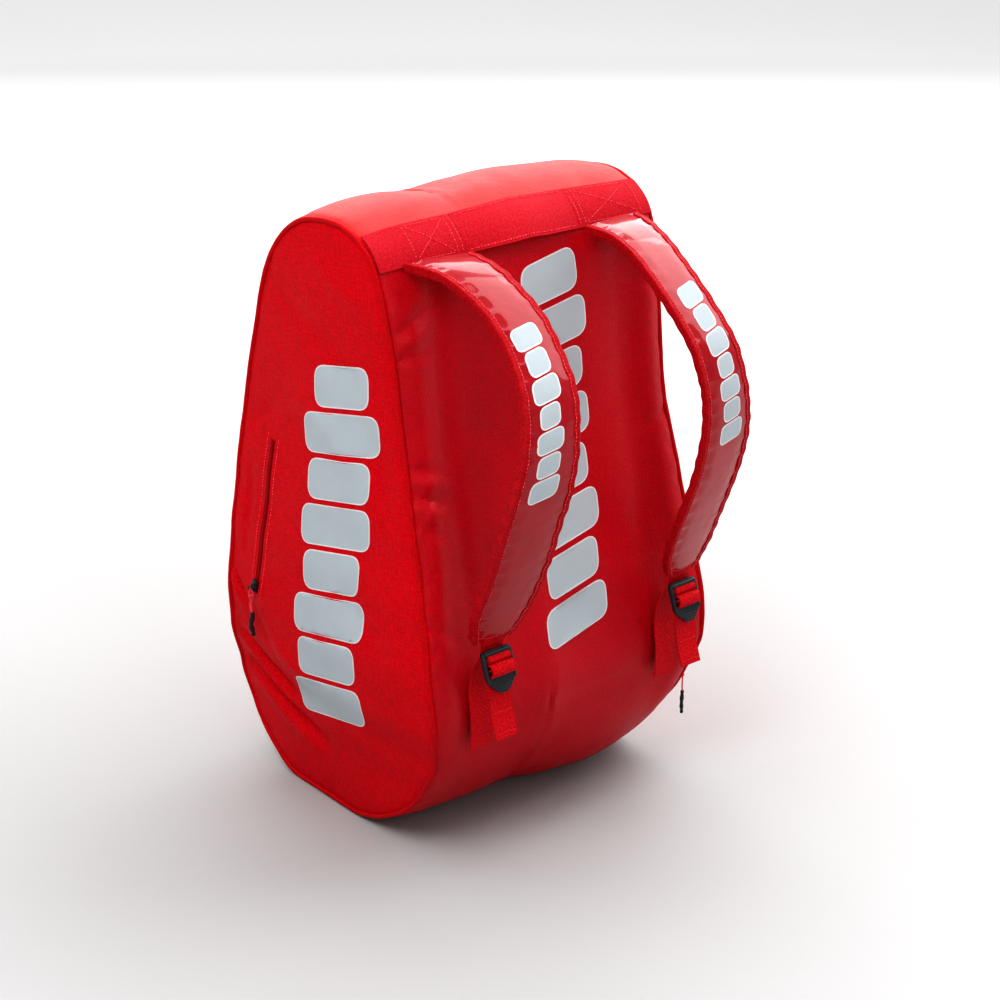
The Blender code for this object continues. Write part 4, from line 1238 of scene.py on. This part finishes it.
def band_piece(name, low, high, bow, count):
    grid = [[band_point(x, across, bow, 0.0) for across in spread(0.0, 1.0, 16)]
            for x in spread(low, high, count)]
    return sheet_piece(name, grid, 1.7 * MM, BAND_RED, sharp=50)


def stitch_line(name, start, end, bow, pitch=3.3 * MM):
    points, normals = [], []
    for k in range(41):
        x, across = (a + (b - a) * k / 40 for a, b in zip(start, end))
        points.append(band_point(x, across, bow, 0.2 * MM))
        s = BAND_LOW_S + 2 * MM - BAND_WIDTH * (1 - across)
        normals.append(wrap_out(s))
    return stitch_row(name, points, normals, pitch, 2.2 * MM, 0.45 * MM, THREAD)


def build_band():
    end = half_width(580 * MM) - 1.5 * MM
    rows = {
        "left": [((-122 * MM, 0.06), (-122 * MM, 0.94)), ((-70 * MM, 0.05), (-70 * MM, 0.95)),
                 ((-76 * MM, 0.05), (-76 * MM, 0.95)), ((-120 * MM, 0.1), (-78 * MM, 0.9)),
                 ((-120 * MM, 0.9), (-78 * MM, 0.1)), ((-120 * MM, 0.08), (-78 * MM, 0.08)),
                 ((-120 * MM, 0.92), (-78 * MM, 0.92))],
        "right": [((148 * MM, 0.06), (148 * MM, 0.94)), ((70 * MM, 0.05), (70 * MM, 0.95)),
                  ((76 * MM, 0.05), (76 * MM, 0.95)), ((78 * MM, 0.1), (146 * MM, 0.9)),
                  ((78 * MM, 0.9), (146 * MM, 0.1)), ((78 * MM, 0.08), (146 * MM, 0.08)),
                  ((78 * MM, 0.92), (146 * MM, 0.92))],
    }
    for word, low, high in (("left", -end, -BAND_INNER_X - 0.2 * MM),
                            ("right", BAND_INNER_X + 0.2 * MM, end)):
        made = band_piece("band_" + word + "_webbing", low, high, 0.0, 40)
        place_piece(made, "root", "webbing", "band_" + word)
        stitches = [stitch_line("row", a, b, 0.0) for a, b in rows[word]]
        place_piece(join_pieces("band_" + word + "_stitching", stitches), "root", "webbing")
    made = band_piece("grab_handle_webbing", -BAND_INNER_X, BAND_INNER_X, 12 * MM, 60)
    place_piece(made, "handle", "webbing", "grab_handle")
    stitches = [stitch_line("row", (-64 * MM, v), (64 * MM, v), 12 * MM) for v in (0.07, 0.93)]
    place_piece(join_pieces("grab_handle_stitching", stitches), "handle", "webbing")


build_band()


# ---------------------------------------------------------------- ladder locks and webs

def lock_frame(side):
    """Local X across the web, Y up along the lock, Z out from the bag."""
    return frame_from((side * LOCK_X, -212 * MM, 216 * MM), (1, 0, 0), (0, 0.36, 1), (0, -1, 0.36))


def rounded(points, radius, steps=4):
    """A closed outline with each corner rounded."""
    result = []
    count = len(points)
    for i, corner in enumerate(points):
        corner = Vector(corner)
        before, after = Vector(points[i - 1]) - corner, Vector(points[(i + 1) % count]) - corner
        reach = min(radius, before.length * 0.45, after.length * 0.45)
        start, end = corner + before.normalized() * reach, corner + after.normalized() * reach
        for k in range(steps + 1):
            t = k / steps
            result.append(start * (1 - t) ** 2 + corner * (2 * t * (1 - t)) + end * t ** 2)
    return result


def solid_from_outline(name, outline, holes, low, high, matrix, material, bevel=0.7 * MM):
    """A bevelled plate with holes, extruded along local Z."""
    corners, faces = flat_mesh(outline, holes, 4 * MM)
    bm = bmesh.new()
    bottom = [bm.verts.new((p[0], p[1], low)) for p in corners]
    for face in faces:
        bm.faces.new([bottom[k] for k in face])
    bmesh.ops.dissolve_limit(bm, angle_limit=0.01, verts=bm.verts[:], edges=bm.edges[:])
    made = bmesh.ops.extrude_face_region(bm, geom=bm.faces[:])
    moved = [item for item in made["geom"] if isinstance(item, bmesh.types.BMVert)]
    bmesh.ops.translate(bm, verts=moved, vec=(0, 0, high - low))
    bmesh.ops.recalc_face_normals(bm, faces=bm.faces[:])
    bm.normal_update()
    sharp = [edge for edge in bm.edges if len(edge.link_faces) == 2 and edge.calc_face_angle(0) > 1.0]
    bmesh.ops.bevel(bm, geom=sharp, offset=bevel, segments=3, profile=0.6, affect="EDGES")
    bmesh.ops.transform(bm, verts=bm.verts[:], matrix=matrix)
    mesh = bpy.data.meshes.new(name)
    bm.to_mesh(mesh)
    bm.free()
    mesh.shade_smooth()
    mesh.set_sharp_from_angle(angle=math.radians(40))
    mesh.materials.append(material)
    made = bpy.data.objects.new(name, mesh)
    bpy.context.collection.objects.link(made)
    return made


def web_piece(name, route, x, width, thickness, material, sag=0.0, cup=0.0):
    """Webbing that follows a smooth route of (Y, Z), its outer side to the right of travel."""
    path = Path(route, scale=1.0)
    rows = max(int(path.total / (1.6 * MM)), 8)
    grid = []
    for k in range(rows + 1):
        s = path.total * k / rows
        p = path.at(s)
        t = path.tangent(s, 0.6 * MM)
        out = Vector((0, t.y, -t.x))
        line = []
        for j in range(15):
            part = -1 + 2 * j / 14
            edge = 0.35 * MM * wobble(s / (9 * MM), part, seed=70) * abs(part)
            lift = cup * (1 - part * part) + sag * math.sin(math.pi * k / rows) * part
            line.append(Vector((x + part * width / 2 + edge, p.x, p.y)) + out * lift)
        grid.append(line)
    return sheet_piece(name, grid, thickness, material, flip=False, sharp=60)


def local_route(matrix, points):
    placed = [matrix @ Vector((0, v * MM, w * MM)) for v, w in points]
    return [(p.y, p.z) for p in placed]


def build_lock(side, word):
    matrix = lock_frame(side)
    body = word + "_lock"
    outline = rounded([(-17, 13), (-17, -13), (-13, -17.5), (-5, -26), (5, -26), (13, -17.5),
                       (17, -13), (17, 13), (14.5, 15), (-14.5, 15)], 2.4)
    outline = [p * MM for p in outline]
    holes = []
    for low, high in ((2.6, 8.6), (-9.4, -2.6)):
        corners = rounded([(-13.3, low), (13.3, low), (13.3, high), (-13.3, high)], 1.2)
        holes.append([p * MM for p in corners])
    plate = solid_from_outline("plate", outline, holes, -2.25 * MM, 1.6 * MM, matrix, BLACK)
    parts = [plate]
    bar = [matrix @ Vector((u * MM, 11.6 * MM, 1.5 * MM)) for u in range(-15, 16, 2)]
    parts.append(tube_piece("bar", bar, 2.3 * MM, 14, BLACK,
                            up=matrix.to_3x3() @ Vector((0, 0, 1)), squeeze=0.75))
    for edge in (-1, 1):
        rail = [matrix @ Vector((edge * 15.1 * MM, v * MM, (1.5 - 0.0035 * v * v) * MM))
                for v in range(-15, 14, 2)]
        parts.append(tube_piece("rail", rail, 1.75 * MM, 14, BLACK,
                                up=matrix.to_3x3() @ Vector((0, 0, 1)), squeeze=0.9))
    for k, v in enumerate((-18.5, -20.7, -22.9)):
        reach = 9 - 2.1 * k
        rib = [matrix @ Vector((u * reach / 6 * MM, v * MM, 1.5 * MM)) for u in range(-6, 7)]
        parts.append(tube_piece("rib", rib, 0.6 * MM, 8, BLACK))
    made = join_pieces(word + "_lock_frame", parts)
    place_piece(made, body, "buckle_plastic", word + "_ladder_lock")

    roll = local_route(matrix, [(8.2, -4.2), (8.8, -1.0), (8.6, 2.4), (6.9, 4.0), (5.0, 3.2),
                                (4.1, 0.6), (3.8, -2.6)])
    made = web_piece(word + "_upper_roll", roll, side * LOCK_X, 25 * MM, 1.5 * MM, WEB_RED, cup=0.2 * MM)
    place_piece(made, body, "webbing")
    roll = local_route(matrix, [(0.4, -1.5), (0.9, 1.8), (0.2, 4.8), (-2.2, 6.6), (-5.4, 6.2),
                                (-8.0, 4.2), (-8.8, 1.0), (-8.9, -2.4), (-10.4, -4.0)])
    made = web_piece(word + "_lower_roll", roll, side * LOCK_X, 26.5 * MM, 1.7 * MM, WEB_RED, cup=0.4 * MM)
    place_piece(made, body, "webbing")


def build_webs(side, word):
    x = side * LOCK_X
    matrix = lock_frame(side)
    route = [(p[0] * MM, p[1] * MM) for p in WEB_TAIL]
    made = web_piece(word + "_tail_webbing", list(reversed(route)), x, 25 * MM, 1.5 * MM, WEB_RED,
                     cup=0.5 * MM)
    place_piece(made, word + "_tail", "webbing", word + "_web_tail")
    path = Path(route, scale=1.0)
    rows = []
    for s in (path.total - 5 * MM, path.total - 25 * MM):
        p, t = path.at(s), path.tangent(s)
        out = Vector((0, t.y, -t.x))
        if out.y > 0:
            out = -out
        points = [Vector((x + u * 11.3 * MM / 10, p.x, p.y)) + out * (0.35 * MM) for u in range(-10, 11)]
        rows.append(stitch_row("row", points, [out] * 21, 3.0 * MM, 2.1 * MM, 0.33 * MM, THREAD))
    place_piece(join_pieces(word + "_tail_stitching", rows), word + "_tail", "webbing")

    route = [(p[0] * MM, p[1] * MM) for p in reversed(LOWER_WEB)]
    made = web_piece(word + "_lower_webbing", route, x, 25 * MM, 1.5 * MM, WEB_RED)
    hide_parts(word + "_lower_web")
    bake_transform(made)

    tip = strap_frame(side, 1.0)[0]
    seat = local_route(matrix, [(14, -4.6), (9.7, -5.0)])
    start = strap_frame(side, 0.955)
    low = start[0] + start[4] * 0.2 * MM
    route = [(low.y, low.z), (tip.y - 1.0 * MM, tip.z + 2 * MM), (tip.y + 2.5 * MM, tip.z - 5 * MM)] + seat
    made = web_piece(word + "_strap_tongue", list(reversed(route)), x, 25 * MM, 1.5 * MM, WEB_RED)
    place_piece(made, word + "_strap", "webbing", word + "_strap_loop")


for word, side in (("left", -1), ("right", 1)):
    build_lock(side, word)
    build_webs(side, word)


# ---------------------------------------------------------------- zip sliders and pulls

def build_slider(name, matrix, body):
    """Slider body with two wings, a bridge and a rounded nose; local Y runs along the zip."""
    outline = rounded([(-4.4, 5.6), (-4.6, 0.8), (-2.6, -6.2), (2.6, -6.2), (4.6, 0.8), (4.4, 5.6),
                       (1.6, 6.5), (-1.6, 6.5)], 1.3)
    plate = solid_from_outline("plate", [p * MM for p in outline], [], 0.0, 2.4 * MM,
                               matrix, METAL, 0.5 * MM)
    bridge = []
    for k in range(13):
        angle = math.pi * k / 12
        bridge.append(matrix @ Vector((0, 4.2 * MM * math.cos(angle) - 0.4 * MM,
                                       (2.0 + 2.6 * math.sin(angle)) * MM)))
    arch = tube_piece("arch", bridge, 1.0 * MM, 10, METAL,
                      up=matrix.to_3x3() @ Vector((1, 0, 0)), squeeze=1.6)
    made = join_pieces(name + "_metal", [plate, arch])
    return place_piece(made, body, "slider_metal", name)


def build_pull(name, hinge, hang, body, length=54 * MM, turn=0.0):
    """Ring, doubled red cord with a knot, and a waisted rubber grip."""
    down = Vector(hang).normalized()
    across = Vector((1, 0, 0)) if abs(down.x) < 0.5 else Vector((0, 1, 0))
    out = down.cross(across).normalized()
    across = (across * math.cos(turn) + out * math.sin(turn)).normalized()
    out = down.cross(across).normalized()
    hinge = Vector(hinge)
    ring = []
    for k in range(20):
        angle = 2 * math.pi * k / 20
        ring.append(hinge + down * (2.2 * MM * math.cos(angle) + 1.2 * MM)
                    + across * (2.0 * MM * math.sin(angle)))
    ring = tube_piece(name + "_ring", ring, 0.55 * MM, 8, METAL, closed=True)
    place_piece(ring, body, "slider_metal", name)
    strands = []
    for side in (-1, 1):
        centres = []
        for k in range(33):
            t = k / 32
            bow = 1.5 * MM * math.sin(math.pi * min(t * 2.2, 1.0)) + 0.55 * MM
            sway = 0.5 * MM * math.sin(t * 7.0)
            centres.append(hinge + down * (2.6 * MM + t * 26 * MM) + across * (side * bow + sway))
        strands.append(tube_piece("strand", centres, 0.62 * MM, 8, THREAD))
    knot = []
    for k in range(49):
        angle = 2 * math.pi * k / 24
        swing = 1.25 * MM
        knot.append(hinge + down * (8.6 * MM + 1.6 * MM * k / 48 + 0.7 * MM * math.sin(angle * 1.5))
                    + across * (swing * math.cos(angle)) + out * (swing * math.sin(angle)))
    strands.append(tube_piece("knot", knot, 0.72 * MM, 8, THREAD))
    made = join_pieces(name + "_cord", strands)
    place_piece(made, body, "pull_rubber")
    centres, radii = [], []
    grip = length - 27 * MM
    for k in range(41):
        t = k / 40
        radius = 2.35 + 0.35 * math.cos(2 * math.pi * (t * 3.0)) - 0.1 * t
        ends = min(math.sqrt(max(t, 0) / 0.07), math.sqrt(max(1 - t, 0) / 0.07), 1.0)
        sway = 0.9 * MM * math.sin(2 * math.pi * t * 1.25 + 0.5)
        centres.append(hinge + down * (27 * MM + t * grip) + across * sway)
        radii.append(max(radius * ends, 0.25) * MM)
    made = tube_piece(name + "_grip", centres, radii, 14, GRIP, up=tuple(out), squeeze=0.78)
    place_piece(made, body, "pull_rubber")


def side_frame(y, z, along, side, lift):
    """Frame on a side panel's face: local Y along it, local Z out of it."""
    step = 1 * MM
    slope_y = (crowned_x(y + step, z) - crowned_x(y - step, z)) / (2 * step)
    slope_z = (crowned_x(y, z + step) - crowned_x(y, z - step)) / (2 * step)
    out = Vector((side, -slope_y, -slope_z)).normalized()
    run = Vector((side * (slope_y * along[0] + slope_z * along[1]), along[0], along[1]))
    origin = Vector((side * crowned_x(y, z), y, z)) + out * lift
    return frame_from(origin, run.cross(out), run, out)


def build_sliders():
    along = (POCKET_BOTTOM - POCKET_TOP).normalized()
    y, z = POCKET_BOTTOM - along * (7.5 * MM)
    matrix = side_frame(y, z, -along, -1, 1.2 * MM)
    build_slider("pocket_slider", matrix, "pocket_slider")
    build_pull("pocket_pull", matrix @ Vector((0, 0, 6.0 * MM)), (0, 0, -1), "pocket_pull", turn=0.5)

    s = length_at(100 * MM, False)
    y, z = on_outline(s, SIDE_INSET + ZIP_HALF + 0.3 * MM)
    matrix = side_frame(y, z, OUTLINE.tangent(s) * -1, 1, 1.2 * MM)
    build_slider("racket_slider", matrix, "racket_slider")
    build_pull("racket_pull", matrix @ Vector((0, 0, 6.0 * MM)), (0, 0, -1), "racket_pull", turn=-0.6)

    s = length_at(DOOR_TOP_Z, True)
    tangent = OUTLINE.tangent(s)
    out = Vector((0, tangent.y, -tangent.x))
    down = Vector((0, -tangent.x, -tangent.y))
    for word, side in (("left", -1), ("right", 1)):
        y, z = on_outline(s, -(swell(s, side * 10 * MM) + 0.3 * MM))
        base = Vector((side * 10 * MM, y, z))
        matrix = frame_from(base, down * side, (side, 0, 0), out)
        build_slider("front_slider_" + word, matrix, "front_slider_" + word)
        hinge = base + out * (7.4 * MM)
        build_pull("front_pull_" + word, hinge, down - out * 0.02, "front_pull_" + word)


build_sliders()


# ---------------------------------------------------------------- printed bars and panel stitching

def slanted_bar(u, v, width, height, rise, radius):
    """A slanted bar with round corners: `rise` lifts its right end."""
    corners = [(u - width / 2, v - height / 2 - rise / 2), (u + width / 2, v - height / 2 + rise / 2),
               (u + width / 2, v + height / 2 + rise / 2), (u - width / 2, v + height / 2 - rise / 2)]
    return rounded(corners, radius, 6)


def grow(ring, amount):
    """Move a closed anticlockwise ring outwards by `amount`."""
    result = []
    for i, p in enumerate(ring):
        run = (Vector(ring[(i + 1) % len(ring)]) - Vector(ring[i - 1])).normalized()
        result.append(Vector(p) + Vector((run.y, -run.x)) * amount)
    return result


# printed bars: widths in millimetres, from the bottom up on the bag and from the top down on the
# straps, and how far the ink stands off
SIDE_BAR_WIDTHS = (108, 90, 104, 82, 100, 88, 106, 76)
BACK_BAR_WIDTHS = (80, 66, 76, 60, 76, 66, 80, 64)
STRAP_BAR_WIDTHS = (27, 21, 26, 19, 25, 21, 27)
BODY_PRINT_LIFT = 0.45 * MM
STRAP_PRINT_LIFT = 0.3 * MM


def print_bars(name, rings, surface, lift, body, slot):
    """A column of ink bars, each with a thin pale edge round it, laid just above the fabric."""
    def raised(u, v, inward):
        return surface(u, v, inward - lift)
    edges, inks = [], []
    for ring in rings:
        edges.append(cut_piece("bar_edge", grow(ring, 1.3 * MM), [ring], 3.5 * MM,
                               raised, 0.5 * MM, INK_EDGE))
        inks.append(cut_piece("bar_ink", ring, [], 3.5 * MM, raised, 0.5 * MM, INK))
    place_piece(join_pieces(name + "_edges", edges), body, slot)
    place_piece(join_pieces(name + "_bars", inks), body, slot)


def build_prints():
    rings = []
    for k, width in enumerate(SIDE_BAR_WIDTHS):
        width *= MM
        y, z = (-26 - 3.4 * k) * MM, (124 + 46.2 * k) * MM
        rings.append(slanted_bar(y, z, width, 38 * MM, -0.2 * width, 13 * MM))
    print_bars("left_print", rings, LEFT, BODY_PRINT_LIFT, "root", "body_fabric")

    def back(u, v, inward):
        return wrap_point(length_at(v, False), u, -inward)
    rings = []
    for k, width in enumerate(BACK_BAR_WIDTHS):
        width *= MM
        x, z = (14 + 1.2 * k) * MM, (214 + 45.0 * k) * MM
        rings.append(slanted_bar(x, z, width, 36 * MM, 0.18 * width, 12 * MM))
    print_bars("back_print", rings, back, BODY_PRINT_LIFT, "root", "body_fabric")

    for word, side in (("left", -1), ("right", 1)):
        def strap(u, v, inward):
            half = strap_frame(side, v / STRAP_LENGTH)[1]
            return strap_point(side, v / STRAP_LENGTH, u / half, inward)
        rings = []
        for k, width in enumerate(STRAP_BAR_WIDTHS):
            width *= MM
            part = 0.262 + 0.0495 * k
            v = part * STRAP_LENGTH
            rings.append(slanted_bar(side * 3 * MM, v, width, 17.5 * MM, -0.2 * width, 5.5 * MM))
        print_bars(word + "_strap_print", rings, strap, STRAP_PRINT_LIFT, word + "_strap", "strap_gloss")


def surface_stitches(name, places, surface, normal, body, slot="body_fabric"):
    points = [surface(u, v, -0.15 * MM) for u, v in places]
    made = stitch_row(name, points, [Vector(normal)] * len(points), 3.3 * MM, 2.2 * MM, 0.42 * MM, THREAD)
    return place_piece(made, body, slot)


def build_panel_stitches():
    along = (POCKET_BOTTOM - POCKET_TOP).normalized()
    across = Vector((-along.y, along.x))
    for word, offset in (("front", 9.5), ("back", -9.5)):
        shift = across * (-offset * MM)
        places = [POCKET_TOP.lerp(POCKET_BOTTOM, k / 60) + shift for k in range(-2, 63)]
        surface_stitches("pocket_%s_stitching" % word, places, LEFT, (-1, 0, 0), "root")


build_prints()
build_panel_stitches()


# ---------------------------------------------------------------- studio

def area_light(name, place, target, size, power, colour=(1, 1, 1)):
    data = bpy.data.lights.new(name, "AREA")
    data.shape = "RECTANGLE"
    data.size, data.size_y = size
    data.energy = power
    data.color = colour
    made = bpy.data.objects.new(name, data)
    made.location = place
    made.rotation_mode = "QUATERNION"
    made.rotation_quaternion = (Vector(target) - Vector(place)).to_track_quat("-Z", "Y")
    bpy.context.collection.objects.link(made)
    return made


def build_studio():
    look = Shader("studio_floor", roughness=0.85)
    # The floor is painted darker (0.38) under and around the bag and fades to pale (0.9) four metres out: a
    # painted shadow pool that also cuts the light bounced onto the bag.
    painted_floor_shade = look.node("TexGradient", ("Vector", look.place("Object", (0.25, 0.25, 0.25))),
                     gradient_type="SPHERICAL").outputs["Fac"]
    look.colour(look.mix(painted_floor_shade, (0.9, 0.9, 0.9), (0.38, 0.38, 0.38)))
    bm = bmesh.new()
    bmesh.ops.create_grid(bm, x_segments=8, y_segments=8, size=12.0)
    mesh = bpy.data.meshes.new("studio_floor")
    bm.to_mesh(mesh)
    bm.free()
    mesh.materials.append(look.material)
    floor = bpy.data.objects.new("studio_floor", mesh)
    floor.location = (0, 0, -0.0005)
    bpy.context.collection.objects.link(floor)

    world = bpy.data.worlds.new("studio")
    bpy.context.scene.world = world
    world.use_nodes = True
    world.node_tree.nodes["Background"].inputs["Color"].default_value = (1, 1, 1, 1)
    world.node_tree.nodes["Background"].inputs["Strength"].default_value = 0.32
    sun = bpy.data.lights.new("overhead_silk", "SUN")
    sun.energy = 1.0
    sun.angle = math.radians(50)
    silk = bpy.data.objects.new("overhead_silk", sun)
    silk.rotation_mode = "QUATERNION"
    silk.rotation_quaternion = Vector((0.1, -0.22, -1)).to_track_quat("-Z", "Y")
    bpy.context.collection.objects.link(silk)
    area_light("rear_softbox", (1.7, 2.1, 1.9), (0, 0, 0.5), (3.4, 2.0), 55)
    area_light("right_softbox", (1.75, -0.45, 2.1), (0, -0.1, 0.45), (2.4, 2.6), 50)
    area_light("left_softbox", (-1.35, -0.5, 1.95), (-0.1, 0, 0.5), (0.8, 1.0), 18)
    area_light("back_softbox", (-0.5, -2.4, 1.4), (0, 0, 0.35), (0.9, 0.9), 8)

    azimuth, elevation = math.radians(-40), math.radians(22)
    right = Vector((math.cos(azimuth), math.sin(azimuth), 0))
    back = Vector((math.sin(azimuth) * math.cos(elevation), -math.cos(azimuth) * math.cos(elevation),
                   math.sin(elevation)))
    data = bpy.data.cameras.new("photo_view")
    data.sensor_width = 36
    data.lens = 79.2
    camera = bpy.data.objects.new("photo_view", data)
    camera.matrix_world = frame_from((-1.262812, -1.579797, 1.096492), right, back.cross(right), back)
    bpy.context.collection.objects.link(camera)
    bpy.context.scene.camera = camera
    view = bpy.context.scene.view_settings
    view.view_transform = "Standard"
    view.look = "High Contrast"


build_studio()

for name, shown in frame["nodes"].items():
    slot = {entry["node"]: entry["material_slot"] for entry in frame["record"]["subparts"]}[name]
    look = {"body_fabric": RED, "piping": PIPE_RED, "zip_tape": ZIP_RED, "lining": LINING,
            "board": BOARD, "webbing": WEB_RED, "strap_gloss": VINYL, "strap_padding": MESH_RED,
            "buckle_plastic": BLACK, "slider_metal": METAL, "pull_rubber": GRIP}[slot]
    shown.data.materials.clear()
    shown.data.materials.append(look)
